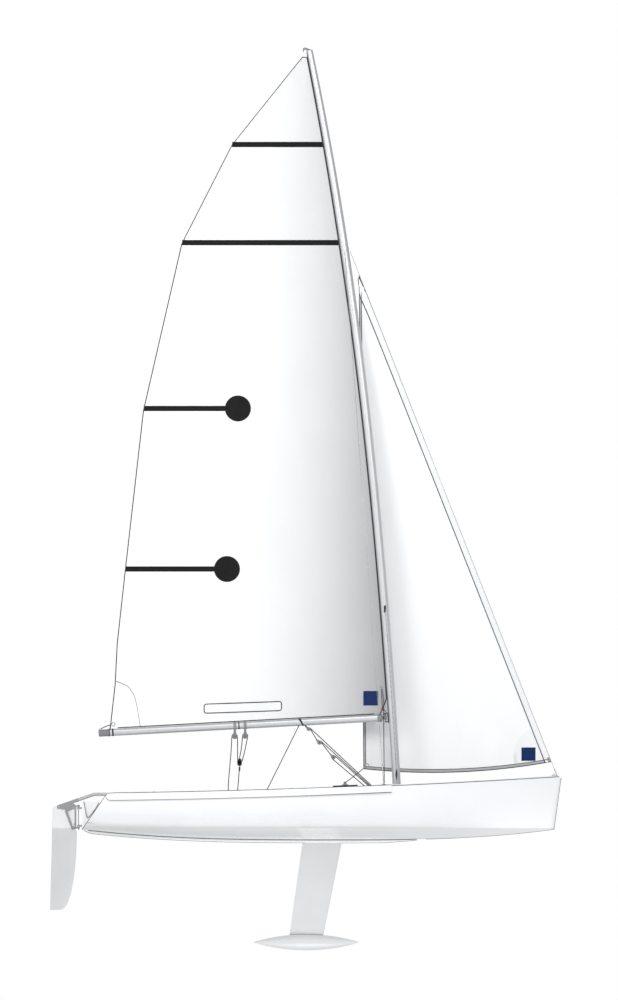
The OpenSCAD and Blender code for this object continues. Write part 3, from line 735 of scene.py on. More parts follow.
def mirrored(points, side):
    return [Vector((p.x, side * p.y, p.z)) for p in points]


def gunwale_ring(foot):
    t, depth = gunwale_size(foot)
    shape = ((-0.004, 0), (t * 0.45, 0.001), (t * 0.8, 0.005), (t * 0.96, 0.012), (t, depth * 0.4),
             (t * 0.92, depth * 0.8), (t * 0.78, depth * 0.96), (t * 0.5, depth), (-0.004, depth))
    return [deck_edge(foot, out, down) for out, down in shape]


def seam(name, points, half, material="rubber", body="hull"):
    """A thin bead of sealant or rubber along a line."""
    return rope(name, points, half, material, body, 1, 8)


bead_line = [deck_edge(f, 0.0035, gunwale_size(f)[1] + 0.001) for f in GUNWALE_FEET]
joint_line = [deck_edge(f, 0.001, DECK_EDGE) for f in FEET if GUNWALE_END - 0.05 < f <= FOREFOOT_X - STEM_R]
for side, tag in SIDES:
    rings = [mirrored(gunwale_ring(f), side) for f in GUNWALE_FEET]
    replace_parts(loft(f"gunwale_lip_{tag}", rings, "gelcoat", "hull", 30), f"gunwale_{tag}")
    seam(f"gunwale_bead_{tag}", mirrored(bead_line, side), 0.0032)
    seam(f"deck_joint_{tag}", mirrored(joint_line, side), 0.003)

# A slim rubbing strip along the deck's edge, down the stern's corners, and down the stem and keel.
sheer_line = [deck_edge(f, gunwale_size(f)[0] * 0.7, 0.001) for f in GUNWALE_FEET]
stern_line = [at_station(STERN_X, *section(STERN_X, t)) for t in spread(0, 1, 24)]
for side, tag in SIDES:
    seam(f"sheer_bead_{tag}", mirrored(sheer_line, side), 0.0032)
    seam(f"stern_bead_{tag}", mirrored(stern_line, side), 0.0028)
stem_line = [at_station(FOREFOOT_X, 0, z) for z in spread(sheer_z(STEM_X), keel_z(FOREFOOT_X), 20)]
stem_line += [at_station(f, 0, keel_z(f)) for f in reversed(FEET) if BAND_END + 0.04 < f < FOREFOOT_X]
seam("stem_band", stem_line, 0.0036)

band_feet = [f for f in FEET if f <= BAND_END]


def band_low(foot):
    fade = min(1, (foot - STERN_X) / 0.1, (BAND_END + 0.1 - foot) / 0.45)
    return keel_z(foot) - 0.001 - BAND_DEPTH * fade


def band_ring(foot):
    top, low = keel_z(foot), band_low(foot)
    half = [(1.0, top + 0.001), (0.97, lerp(top, low, 0.5)), (0.9, lerp(top, low, 0.85)), (0.78, low)]
    return [at_station(foot, y * BAND_W / 2, z) for y, z in half + [(-y, z) for y, z in reversed(half)]]


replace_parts(loft("keel_strake", [band_ring(f) for f in band_feet], "gelcoat", "hull", 40), "keel_band")
seam("keel_rub_strip", [at_station(f, 0, band_low(f)) for f in band_feet if f > STERN_X + 0.006], 0.0036)
strake_line = [at_station(f, BAND_W / 2 + 0.001, keel_z(f) - 0.001) for f in band_feet if f > STERN_X + 0.03]
for side, tag in SIDES:
    seam(f"strake_bead_{tag}", mirrored(strake_line, side), 0.0032)

# ---------------------------------------------------------------- keel

FIN_X, FIN_ROOT, FIN_TIP, FIN_RAKE, FIN_THICK = 0.193, 0.379, 0.328, 0.178, 0.11
BULB_DEPTH, BULB_LENGTH, BULB_R = 1.106, 1.043, 0.078
BULB_X = FIN_X - FIN_RAKE - FIN_TIP / 2


def bulb_r(x):
    return BULB_R * (1 - (2 * (x - BULB_X) / BULB_LENGTH) ** 2)


def foil(u):
    """The half thickness of a foil along its chord, as a share of its thickness."""
    return 5 * (0.2969 * sqrt(u) - 0.126 * u - 0.3516 * u * u + 0.2843 * u ** 3 - 0.1036 * u ** 4)


def foil_sides(n):
    """The two sides of a foil, from the nose back and from the tail forward, as (side, share of chord)."""
    us = [(1 - cos(pi * i / n)) / 2 for i in range(n + 1)]
    return [(1, u) for u in us] + [(-1, u) for u in reversed(us)]


def fin_ring(f):
    chord, lead = lerp(FIN_ROOT, FIN_TIP, f), FIN_X - FIN_RAKE * f
    points = []
    for side, u in foil_sides(26):
        x, y = lead - chord * u, side * max(0.001, chord * FIN_THICK * foil(u))
        low = -BULB_DEPTH + sqrt(max(1e-6, bulb_r(x) ** 2 - y * y)) - 0.004
        points.append(Vector((x, y, lerp(-KEEL_DEPTH - BAND_DEPTH + 0.002, low, f))))
    return points


fin = loft("keel_fin_foil", [fin_ring(f) for f in spread(0, 1, 12)], "foil", "hull", 40)
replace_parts(fin, "keel_fin")

bulb_rings = []
for i in range(49):
    x = -BULB_LENGTH / 2 * cos(pi * i / 48)
    r = max(1e-5, BULB_R * (1 - (2 * x / BULB_LENGTH) ** 2))
    bulb_rings.append([Vector((BULB_X + x, r * cos(a), -BULB_DEPTH + r * sin(a)))
                       for a in turns(56)])
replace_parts(loft("ballast_bulb", bulb_rings, "foil", "hull", 60), "keel_bulb")
fin_foot = [Vector((p.x, p.y, p.z + 0.003)) for p in fin_ring(1)]
rope("fin_fillet", fin_foot + [fin_foot[0]], 0.003, "rubber", "hull", 1, 8)

# ---------------------------------------------------------------- mast

MAST_FOOT_Z, MAST_TOP, MAST_FOOT_X, MAST_RAKE, MAST_BEND = 0.13, 7.527, 0.742, 0.86, 0.139
MAST_DEPTH, MAST_TIP, MAST_W, HOUNDS_Z = 0.08, 0.062, 0.06, 5.595


def mast_x(z):
    t = (z - MAST_FOOT_Z) / (MAST_TOP - MAST_FOOT_Z)
    return MAST_FOOT_X - MAST_RAKE * t + MAST_BEND * 4 * t * (1 - t) * (1 + 0.35 * (t - 0.5))


def mast_half(z):
    return lerp(MAST_DEPTH, MAST_TIP, clamp01((z - HOUNDS_Z) / (MAST_TOP - HOUNDS_Z)) ** 1.5) / 2


def mast_half_w(z):
    return MAST_W / 2 * mast_half(z) / (MAST_DEPTH / 2)


def mast_back(z):
    return mast_x(z) - mast_half(z)


def mast_ring(z, grow, n):
    """The mast's oval section at a height, grown on every side by grow."""
    deep, wide = mast_half(z) + grow, mast_half_w(z) + grow
    return [Vector((mast_x(z) + deep * cos(a), wide * sin(a), z)) for a in turns(n)]


mast_rings = [mast_ring(z, 0, 48) for z in spread(MAST_FOOT_Z, MAST_TOP, 90)]
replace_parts(loft("mast_tube", mast_rings, "mast", "hull", 60), "mast")

# The groove that holds the mainsail's luff, with its two lips.
track_rings = []
for z in spread(1.02, MAST_TOP - 0.02, 80):
    x = mast_back(z)
    track_rings.append([Vector((x + dx, dy, z)) for dx, dy in
                        ((0.012, 0.013), (-0.0035, 0.0095), (-0.0035, -0.0095), (0.012, -0.013))])
loft("luff_track", track_rings, "rubber", "hull", 40)

HALYARD_EXITS = {"port": 1.62, "starboard": 2.12}
for side, tag in SIDES:
    exit_z = HALYARD_EXITS[tag]
    rope(f"halyard_{tag}", [(mast_x(z) + 0.004, side * (mast_half_w(z) + 0.004), z)
                            for z in spread(0.42, exit_z - 0.02, 10)], 0.0028, "light_rope", "hull", 2)
    # A horn cleat, on a stub off the mast's side.
    cleat = Vector((mast_x(0.62 + 0.1 * side) + 0.004, side * (MAST_W / 2 + 0.006), 0.62 + 0.1 * side))
    horn, horn_half = cleat + PORT * (side * 0.014), Vector((0, 0, 0.045))
    kit = Kit().block(cleat, (0.018, 0.012, 0.05)).rod(horn - horn_half, horn + horn_half, 0.0055)
    kit.rod(cleat, cleat + PORT * (side * 0.016), 0.008).done(f"halyard_cleat_{tag}", "black", "hull")
    # The slot that the halyard comes out of, with its sheave.
    slot = Vector((mast_x(exit_z), side * MAST_W / 2, exit_z))
    kit = Kit().block(slot - PORT * (side * 0.001), (0.022, 0.008, 0.07))
    sheave, sheave_half = slot - Vector((0, 0, 0.012)), PORT * (side * 0.004)
    kit.rod(sheave - sheave_half, sheave + sheave_half, 0.011).done(f"halyard_exit_{tag}", "black", "hull")

collar = [mast_ring(0.155 + dz, grow, 40)
          for dz, grow in ((-0.012, 0.004), (-0.009, 0.009), (0.009, 0.009), (0.012, 0.004))]
loft("mast_collar", collar, "black", "hull", 30)

# ---------------------------------------------------------------- boom

PIN_Z = 1.068
PIN = Vector((mast_x(PIN_Z) - MAST_DEPTH / 2 - 0.03, 0, PIN_Z))
BOOM_LENGTH, BOOM_DEPTH, BOOM_W, BOOM_DROP = 2.78, 0.069, 0.05, radians(3.1)
CAP_LENGTH = 0.1
ALONG = Vector((-cos(BOOM_DROP), 0, -sin(BOOM_DROP)))
UP = Vector((-sin(BOOM_DROP), 0, cos(BOOM_DROP)))


def on_boom(d, up=0.0, y=0.0):
    """A point by its distance along the boom from its pin, above the boom's middle and to port."""
    return PIN + ALONG * d + UP * up + Vector((0, y, 0))


def boom_d(x):
    return (PIN.x - x) / cos(BOOM_DROP)


def oval(d, grow=0.0, n=14):
    """The boom's section at a distance from its pin."""
    r, flat = BOOM_W / 2 + grow, (BOOM_DEPTH - BOOM_W) / 2
    out = []
    for base, shift in ((0, flat), (pi, -flat)):
        for i in range(n + 1):
            a = base + pi * i / n
            out.append(on_boom(d, r * sin(a) + shift, r * cos(a)))
    return out


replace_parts(loft("boom_tube", [oval(d) for d in spread(0.036, BOOM_LENGTH - CAP_LENGTH, 24)],
                 "boom", "boom", 60), "boom")
cap = [oval(BOOM_LENGTH - CAP_LENGTH + d, g) for d, g in
       ((0, 0), (0, 0.0025), (0.012, 0.0025), (0.012, 0), (0.09, 0), (0.097, -0.002), (0.1, -0.006))]
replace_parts(loft("boom_end", cap, "grey", "boom", 40), "boom_end_cap")
front = [oval(d, g) for d, g in ((0.03, -0.006), (0.031, 0.0012), (0.075, 0.0012), (0.078, -0.001))]
loft("boom_front_plug", front, "grey", "boom", 40)
BAND_SHAPE = ((-0.006, 0), (-0.005, 0.0012), (0.005, 0.0012), (0.006, 0))
for tag, d in (("aft", BOOM_LENGTH - CAP_LENGTH - 0.004), ("middle", 1.42)):
    loft(f"boom_band_{tag}", [oval(d + s, g) for s, g in BAND_SHAPE], "rubber", "boom", 40)

# ---------------------------------------------------------------- mainsail

LUFF_GAP, FOOT_LIFT = 0.0008, BOOM_DEPTH / 2 + 0.0003
HEAD_Z, HEAD_W, TACK_RISE = 7.465, 0.051, 0.15
ROACH = ((0, 0), (0.066, 0.075), (0.127, 0.168), (0.234, 0.291), (0.474, 0.56), (0.722, 0.651),
         (0.869, 0.438), (1, 0))
TACK = on_boom(0.045, FOOT_LIFT)
CLEW = on_boom(BOOM_LENGTH - CAP_LENGTH - 0.01, FOOT_LIFT)


def luff_x(z):
    return mast_back(z) - LUFF_GAP


def table(v, rows):
    """A value read off rows of (share, value)."""
    for (a, p), (b, q) in zip(rows, rows[1:]):
        if v <= b:
            return lerp(p, q, (v - a) / (b - a))
    return rows[-1][1]


def main_luff(v):
    z = lerp(TACK.z, HEAD_Z, v)
    return lerp(TACK.x, luff_x(z), clamp01((z - TACK.z) / TACK_RISE)), z


def main_leech(v):
    z = lerp(CLEW.z, HEAD_Z, v)
    return lerp(CLEW.x, luff_x(HEAD_Z) - HEAD_W, v) - table(v, ROACH), z


def belly(u):
    return sin(pi * u ** 0.8)


def main_point(u, v):
    """A point of the sail: u runs from luff to leech and v from foot to head."""
    (ax, az), (bx, bz) = main_luff(v), main_leech(v)
    full = 1 - (1 - clamp01(v / 0.25)) ** 2
    y = (ax - bx) * (0.09 * full * belly(u) + sin(radians(7 * v)) * u)
    return Vector((lerp(ax, bx, u), y, lerp(az, bz, u)))


def main_uv(x, z):
    """Which share of the chord and of the height a point of the sail's profile is at."""
    v, u = 0.5, 0.5
    for _ in range(24):
        (ax, az), (bx, bz) = main_luff(v), main_leech(v)
        u = (ax - x) / (ax - bx)
        v += (z - lerp(az, bz, u)) / (HEAD_Z - TACK.z)
    return u, v


def on_main(x, z):
    u, v = main_uv(x, z)
    return Vector((x, main_point(clamp01(u), clamp01(v)).y, z))


SAIL_T, TURN_REACH = 0.0016, 0.16


def hung(obj):
    """Bakes a piece of the mainsail's placing into its mesh."""
    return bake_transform(obj)


def sheet(name, points, faces, material, thick, shade=None, sharp=70):
    """A sheet of cloth with two faces and an edge, about a surface of points."""
    n, edge_faces = len(points), {}
    for face in faces:
        for a, b in zip(face, face[1:] + face[:1]):
            edge_faces.setdefault(frozenset((a, b)), []).append((a, b))
    both = list(faces) + [tuple(n + i for i in reversed(face)) for face in faces]
    both += [(b, a, n + a, n + b) for used in edge_faces.values() if len(used) == 1 for a, b in used]
    lift = Vector((0, thick / 2, 0))
    mesh = bpy.data.meshes.new(name)
    mesh.from_pydata([p + lift for p in points] + [p - lift for p in points], [], both)
    # Where shade is given, it paints shade into the cloth's colour: a per-point factor from each point's X,
    # read by the cloth material.
    if shade:
        painted_luff_shade = mesh.attributes.new("painted_luff_shade", "FLOAT", "POINT")
        painted_luff_shade.data.foreach_set("value", [shade(v.co.x) for v in mesh.vertices])
    bm = bmesh.new()
    bm.from_mesh(mesh)
    bmesh.ops.recalc_face_normals(bm, faces=bm.faces)
    bm.to_mesh(mesh)
    bm.free()
    return dressed(name, mesh, material, sharp)


def grid_faces(rows, cols):
    """Faces of a flat grid of points."""
    return loft_faces(rows, cols, False, False)


def shade_at(x):
    """Painted shade for the mainsail's cloth: its colour is darker towards the luff, standing in for the
    shade where the cloth turns from the light.
    """
    return (1 - 0.35 * clamp01((x + 1.3) / 1.95) ** 2.4) ** 2.2


# Columns are close together near the luff, where the cloth bends round the mast.
MAIN_US = spread(0, 0.2, 33)[:-1] + spread(0.2, 1, 28)
MAIN_VS = sorted(spread(0, 1, 84) + [v for v, _ in ROACH[1:-1]])
WINDOW_X, WINDOW_HALF, WINDOW_R = (-1.141, -0.386), 0.047, 0.026


def window_z(x):
    return 1.181 + (x - WINDOW_X[1]) * 0.0354


def window_outline(inset, n=5):
    """The window's edge, rounded and leaning with the boom."""
    x0, x1 = WINDOW_X
    flat = rounded(x0 + inset, x1 - inset, inset - WINDOW_HALF, WINDOW_HALF - inset, WINDOW_R - inset, n)
    return [(x, window_z(x) + z) for x, z in flat]


def rounded(x0, x1, z0, z1, r, n=4):
    """The outline of a rectangle with rounded corners."""
    out = []
    corners = (x1 - r, z1 - r, 0), (x0 + r, z1 - r, 90), (x0 + r, z0 + r, 180), (x1 - r, z0 + r, 270)
    for cx, cz, start in corners:
        for a in spread(start, start + 90, n):
            out.append((cx + r * cos(radians(a)), cz + r * sin(radians(a))))
    return out


def with_hole(points, faces, outline):
    """Cuts an outline in the X-Z plane out of a surface."""
    bm = bmesh.new()
    verts = [bm.verts.new(p) for p in points]
    for face in faces:
        if len({tuple(points[i]) for i in face}) > 2:
            bm.faces.new([verts[i] for i in face])
    x0, x1 = min(p[0] for p in outline) - 0.02, max(p[0] for p in outline) + 0.02
    z0, z1 = min(p[1] for p in outline) - 0.02, max(p[1] for p in outline) + 0.02

    def is_near(face):
        xs, zs = [v.co.x for v in face.verts], [v.co.z for v in face.verts]
        return max(xs) > x0 and min(xs) < x1 and max(zs) > z0 and min(zs) < z1

    for (ax, az), (bx, bz) in zip(outline, outline[1:] + outline[:1]):
        near = [f for f in bm.faces if is_near(f)]
        geom = list({v for f in near for v in f.verts}) + list({e for f in near for e in f.edges}) + near
        bmesh.ops.bisect_plane(bm, geom=geom, dist=1e-6, plane_co=(ax, 0, az),
                               plane_no=(bz - az, 0, ax - bx))

    def inside(c):
        return all((bx - ax) * (c.z - az) - (bz - az) * (c.x - ax) > 0
                   for (ax, az), (bx, bz) in zip(outline, outline[1:] + outline[:1]))

    gone = [f for f in bm.faces if inside(f.calc_center_median())]
    bmesh.ops.delete(bm, geom=gone, context="FACES")
    bmesh.ops.remove_doubles(bm, verts=bm.verts, dist=1e-6)
    bm.verts.index_update()
    made = [v.co.copy() for v in bm.verts], [tuple(v.index for v in f.verts) for f in bm.faces]
    bm.free()
    return made


grid = [main_point(u, v) for v in MAIN_VS for u in MAIN_US]
points, faces = with_hole(grid, grid_faces(len(MAIN_VS), len(MAIN_US)), window_outline(0))
# The mainsail's cloth gets painted shade towards its luff from shade_at.
mainsail = sheet("mainsail_cloth", points, faces, "sail", SAIL_T, shade_at)
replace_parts(mainsail, "mainsail")
hung(mainsail)
main_parts = []


def laid(name, rows, material, lift=0.0008, shade=None, thick=SAIL_T):
    """A flat piece sewn through the sail, showing on both sides; rows of (x, z) points."""
    points = [on_main(x, z) for row in rows for x, z in row]
    obj = sheet(name, points, grid_faces(len(rows), len(rows[0])), material, thick + 2 * lift, shade)
    main_parts.append(hung(obj))


def band_rows(x0, x1, z, half, shares):
    return [[(lerp(x0, x1, t), z + s * half) for s in (-1, -0.33, 0.33, 1)] for t in shares]


def leech_at(z):
    v = (z - CLEW.z) / (HEAD_Z - CLEW.z)
    return main_leech(v)[0]


BAND_HALF, DISC_R = 0.0255, 0.126
for tag, z in (("upper", 6.616), ("lower", 5.666)):
    rows = band_rows(luff_x(z) - 0.006, leech_at(z) + 0.001, z, BAND_HALF, MAIN_US)
    laid(f"batten_band_{tag}", rows, "ink", 0.0018)
for tag, z, x in (("upper", 4.061, -0.811), ("lower", 2.507, -0.917)):
    rows = band_rows(leech_at(z) + 0.001, x, z, BAND_HALF, spread(0, 1, 26))
    laid(f"batten_pocket_{tag}", rows, "ink")
    rows = [[(x + r * cos(a), z + r * sin(a)) for a in turns(40) + [2 * pi]]
            for r in (0.0005, 0.03, 0.06, 0.09, 0.113, DISC_R)]
    laid(f"batten_disc_{tag}", rows, "ink", 0.0011)


def uv_tape(name, along, across, material, lift=0.0009):
    """A tape that follows the sail's own rows; along and across give (u, v) pairs."""
    points = [main_point(*across(v, k)) for v in along for k in range(4)]
    main_parts.append(hung(sheet(name, points, grid_faces(len(along), 4), material, SAIL_T + 2 * lift)))


def chord_at(v):
    return main_luff(v)[0] - main_leech(v)[0]


LEECH_TAPE = 0.010
uv_tape("leech_tape", MAIN_VS, lambda v, k: (1 + (0.001 - k / 3 * LEECH_TAPE) / chord_at(v), v), "edge")
FOOT_US = [u for u in MAIN_US if 0.02 < u < 0.999]
uv_tape("foot_tape", FOOT_US, lambda u, k: (u, 0.0004 + k / 3 * 0.0016), "edge", 0.0007)
uv_tape("head_tape", spread(0.0, 1.0, 12), lambda u, k: (u, 1 - k / 3 * 0.0014), "edge", 0.0007)
uv_tape("luff_tape", MAIN_VS, lambda v, k: (k / 3 * 0.012 / chord_at(v), v), "edge", 0.0024)

# Corner patches, each cut as a fan from its corner; the clew's has a line of stitching at its edge.


def fan(corner, outline, steps):
    """Rows from a corner to an outline."""
    return [[(lerp(corner[0], x, t), lerp(corner[1], z, t)) for x, z in outline] for t in steps]


def smooth_outline(points, steps=6):
    return [(p.x, p.z) for p in curve_through([(x, 0, z) for x, z in points], steps)]


clew_corner = (CLEW.x + 0.004, CLEW.z + 0.006)
clew_edge = [(leech_at(1.423) + 0.012, 1.423), (-1.94, 1.404), (-1.877, 1.375), (-1.837, 1.324),
             (-1.806, 1.263), (-1.778, 1.13), (-1.757, 1.0), (-1.752, 0.982)]
head_edge = [(leech_at(7.02) + 0.012, 7.02), (-0.40, 6.985), (-0.25, 6.99), (luff_x(7.03) - 0.012, 7.03)]
tack_edge = [(luff_x(1.50) - 0.012, 1.50), (0.47, 1.46), (0.37, 1.37), (0.30, 1.25), (0.275, 1.092)]
for tag, corner, edge_line in (("clew", clew_corner, clew_edge), ("head", (-0.17, HEAD_Z - 0.006), head_edge),
                               ("tack", (TACK.x - 0.004, TACK.z + 0.008), tack_edge)):
    outline = smooth_outline(edge_line)
    steps = spread(0.04, 1, 26)
    # The patches get the same painted shade towards the luff as the sail's cloth.
    laid(f"{tag}_patch", fan(corner, outline, steps), "sail", 0.0006, shade_at)
    if tag == "clew":
        laid("clew_patch_edge", fan(corner, outline, (0.986, 1.0)), "edge", 0.0011)

# The window and its sewn border.
outline, inner = window_outline(-0.002), window_outline(0.008)
laid("window_border", [outline + outline[:1], inner + inner[:1]], "edge", 0.0011)
film_rows = [[(x, window_z(x) + t * (WINDOW_HALF - 0.004)) for t in (-1, -0.33, 0.33, 1)]
             for x in spread(WINDOW_X[0] + 0.004, WINDOW_X[1] - 0.004, 24)]
laid("window_film", film_rows, "film", 0.0, thick=0.0006)

# A plain square patch near the tack, where a sailmaker's label would be, with nothing on it.
label_rows = [[(x, z) for z in spread(1.186, 1.326, 4)] for x in spread(0.403, 0.547, 19)]
laid("tack_label", label_rows, "navy", 0.0026)


def eyelet(name, place, big, hang, parts):
    """A pressed ring through the cloth, with a rim on each face."""
    kit = Kit().ring(place, PORT, big, 0.0042)
    for face in (1, -1):
        kit.ring(place + PORT * (face * 0.0015), PORT, big + 0.003, 0.0016)
    parts.append(hang(kit.done(name, "steel", None, 0)))


eyelet("clew_ring", on_main(-2.017, 1.004), 0.017, hung, main_parts)
eyelet("cunningham_ring", on_main(0.578, 1.362), 0.014, hung, main_parts)
eyelet("tack_ring", on_main(0.585, 1.150), 0.012, hung, main_parts)

# ---------------------------------------------------------------- jib

BOW_PIN, STAY_TOP = Vector((2.273, 0, 0.517335)), Vector((0.272179, 0, 5.589))
JIB_TACK_Z, JIB_HEAD_Z, JIB_CLEW = 0.64, 5.38, (0.404, 0.571)
JIB_GAP = 0.0028


def stay_x(z):
    return lerp(BOW_PIN.x, STAY_TOP.x, (z - BOW_PIN.z) / (STAY_TOP.z - BOW_PIN.z))


def jib_ends(v):
    luff_z, leech_z = lerp(JIB_TACK_Z, JIB_HEAD_Z, v), lerp(JIB_CLEW[1], JIB_HEAD_Z - 0.045, v)
    ax = stay_x(luff_z) - JIB_GAP
    bx = min(lerp(JIB_CLEW[0], stay_x(JIB_HEAD_Z) + 0.005, v), ax - 0.012)
    return ax, luff_z, bx, leech_z


def jib_point(u, v):
    """A point of the jib: u runs from luff to leech and v from foot to head."""
    ax, luff_z, bx, leech_z = jib_ends(v)
    x = lerp(ax, bx, u)
    y = tan(radians(lerp(9.5, 20, v))) * (ax - x) + (ax - bx) * 0.08 * belly(max(u, 0))
    return Vector((x, y, lerp(luff_z, leech_z, u) - 0.066 * 4 * u * (1 - u) * (1 - v) ** 8))


jib_parts = []


def jib_piece(name, points, cols, material, thick):
    """A piece of the jib's cloth over rows of points."""
    made = sheet(name, points, grid_faces(len(points) // cols, cols), material, thick, lambda x: 1.0)
    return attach(made, "jib")


JIB_US, JIB_VS = [(i / 26) ** 1.2 for i in range(27)], spread(0, 1, 64)
jib = jib_piece("jib_cloth", [jib_point(u, v) for v in JIB_VS for u in JIB_US], len(JIB_US), "sail", SAIL_T)
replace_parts(jib, "jib")


def jib_chord(v):
    ax, _, bx, _ = jib_ends(v)
    return ax - bx


def from_luff(start, width):
    """Across a tape that starts some way from the luff, both in metres."""
    return lambda v, t: (min(1, (start + t * width) / jib_chord(v)), v)


def luff_band(v, t):
    """Across the luff tape, which fills the sail where the head is narrower than it."""
    return t * min(1, LUFF_BAND / jib_chord(v)), v


def from_leech(start, width):
    return lambda v, t: (1 - (start + t * width) / jib_chord(v), v)


def from_foot(start, width):
    return lambda u, t: (u, start + t * width)


LUFF_BAND = 0.062           # width of the jib's luff tape along the water
LINE = 0.0014               # how far a dark seam stands off the cloth
for name, end, steps, across, material, lift in (
        ("luff_tape", 0.985, 60, luff_band, "patch", 0.0009),
        ("luff_line", 0.97, 60, from_luff(LUFF_BAND - 0.007, 0.009), "edge", LINE),
        ("luff_edge", 0.995, 60, from_luff(0.0005, 0.006), "edge", LINE),
        ("leech_tape", 0.97, 60, from_leech(0.004, 0.016), "tape", 0.0009),
        ("leech_line", 0.995, 60, from_leech(-0.001, 0.006), "edge", LINE),
        ("leech_seam", 0.965, 60, from_leech(0.020, 0.006), "edge", LINE),
        ("foot_tape", 1, 50, from_foot(0, 0.0062), "tape", 0.0009),
        ("foot_line", 1, 50, from_foot(-0.0003, 0.0017), "edge", LINE),
        ("foot_seam", 1, 50, from_foot(0.0055, 0.0012), "edge", LINE)):
    points = [jib_point(*across(along, k / 3)) for along in spread(0, end, steps) for k in range(4)]
    jib_parts.append(jib_piece(f"jib_{name}", points, 4, material, SAIL_T + 2 * lift))

# A rounded patch at each lower corner, in shares of chord and height.
for tag, corner_u, start in (("tack", 0, 0), ("clew", 1, 90)):
    points = []
    for t in spread(0.02, 1, 6):
        for a in spread(start, start + 90, 10):
            u, v = corner_u + 0.19 * t * cos(radians(a)), 0.07 * t * sin(radians(a))
            points.append(jib_point(clamp01(u), clamp01(v)))
    jib_parts.append(jib_piece(f"jib_{tag}_patch", points, 11, "patch", SAIL_T + 2 * 0.0006))

jib_clew = jib_point(1, 0) + Vector((0.034, 0.001, 0.036))
jib_tack = jib_point(0, 0) + Vector((-0.026, 0.001, 0.03))
for tag, place, big in (("clew", jib_clew, 0.016), ("tack", jib_tack, 0.011)):
    eyelet(f"jib_{tag}_ring", place, big, lambda obj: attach(obj, "jib"), jib_parts)


def on_jib(x, z):
    """A point of the jib found by its X and Z."""
    u, v = 0.2, 0.05
    for _ in range(30):
        p = jib_point(clamp01(u), clamp01(v))
        u += (p.x - x) / jib_chord(clamp01(v))
        v += (z - p.z) / (JIB_HEAD_Z - JIB_TACK_Z)
    return jib_point(clamp01(u), clamp01(v))


points = [on_jib(x, z) for x in spread(1.933, 2.070, 5) for z in spread(0.650, 0.780, 5)]
jib_parts.append(jib_piece("jib_label", points, 6, "navy", SAIL_T + 2 * 0.0012))

# ---------------------------------------------------------------- running rigging


def on_both(obj):
    """Bakes a line's placing into its mesh."""
    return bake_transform(obj)


def boom_strap(name, x, half, material, dx=0.0):
    """A webbing loop hugging the boom, leaning by dx from its top to its foot."""
    d = boom_d(x)
    rings = []
    for s, g in ((-half, 0.0003), (-half + 0.001, 0.0024), (-half / 3, 0.0020), (half / 3, 0.0020),
                 (half - 0.001, 0.0024), (half, 0.0003)):
        rings.append([p + ALONG * -dx * (0.5 - (p - on_boom(d)).dot(UP) / BOOM_DEPTH)
                      for p in oval(d + s, g)])
    return loft(name, rings, material, "boom", 40)


def teardrop(r, length, n=20):
    """A block's cheek: a round with a neck drawn out to one side, +Z."""
    out = []
    for i in range(n + 1):
        a = radians(-210 + 240 * i / n)
        out.append((r * cos(a), r * sin(a)))
    return out + [(0.32 * r, length), (-0.32 * r, length)]


def pulley(name, centre, up, r, length, hang):
    """A small block: two cheeks, the sheave between them and a pin, with its neck towards up."""
    centre, up = Vector(centre), Vector(up).normalized()
    side = PORT.cross(up).normalized()

    def place(x, y, z):
        return centre + side * x + PORT * y + up * z

    points, faces = [], []
    outline = teardrop(r, length)
    n = len(outline)
    for y0, y1 in ((0.0065, 0.0105), (-0.0105, -0.0065)):
        base = len(points)
        points += [place(x, y, z) for y in (y0, y1) for x, z in outline]
        faces += [tuple(base + j for j in range(n)), tuple(base + n + j for j in reversed(range(n)))]
        faces += [(base + j, base + n + j, base + n + (j + 1) % n, base + (j + 1) % n) for j in range(n)]
    hang(edges(piece(f"{name}_cheeks", points, faces, "grey", 40), 0.0012))
    kit = Kit()
    for half, z, radius in ((0.0062, 0, r * 0.78), (0.0125, 0, r * 0.2), (0.0075, length * 0.86, r * 0.16)):
        kit.rod(place(0, -half, z), place(0, half, z), radius)
    hang(kit.done(f"{name}_sheave", "black", None, 0.0008))
    shackle = Kit().ring(place(0, 0, length + 0.002), PORT, 0.0075, 0.0022)
    hang(shackle.done(f"{name}_shackle", "steel", None, 0))


def sheeted(obj):
    return on_both(obj)


def on_spar(obj):
    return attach(obj, "boom")


BLOCK_R, BLOCK_NECK, ROPE_R, LINE_R = 0.0265, 0.046, 0.0045, 0.0042
SHEET_BLOCKS = (("aft", -0.841, 0.886), ("fore", -0.741, 0.890))
for tag, x, z in SHEET_BLOCKS:
    boom_strap(f"sheet_strap_{tag}", x, 0.014, "strap")
    low, top = on_boom(boom_d(x)).z - BOOM_DEPTH / 2, z + 0.036
    kit = Kit().block((x, 0, (low + top) / 2), (0.024, 0.005, low - top + 0.012))
    kit.block((x, 0, z + 0.05), (0.026, 0.007, 0.008)).done(f"sheet_tail_{tag}", "strap", "boom", 0.001)
    pulley(f"sheet_block_{tag}", (x, 0, z), (0, 0, 1), BLOCK_R, BLOCK_NECK, on_spar)
for sign, tag in ((1, "upper"), (-1, "lower")):
    centre = (-0.795, 0, 0.636 + sign * 0.012)
    pulley(f"sheet_fiddle_{tag}", centre, (0, 0, -sign), BLOCK_R - 0.001, 0.044, sheeted)
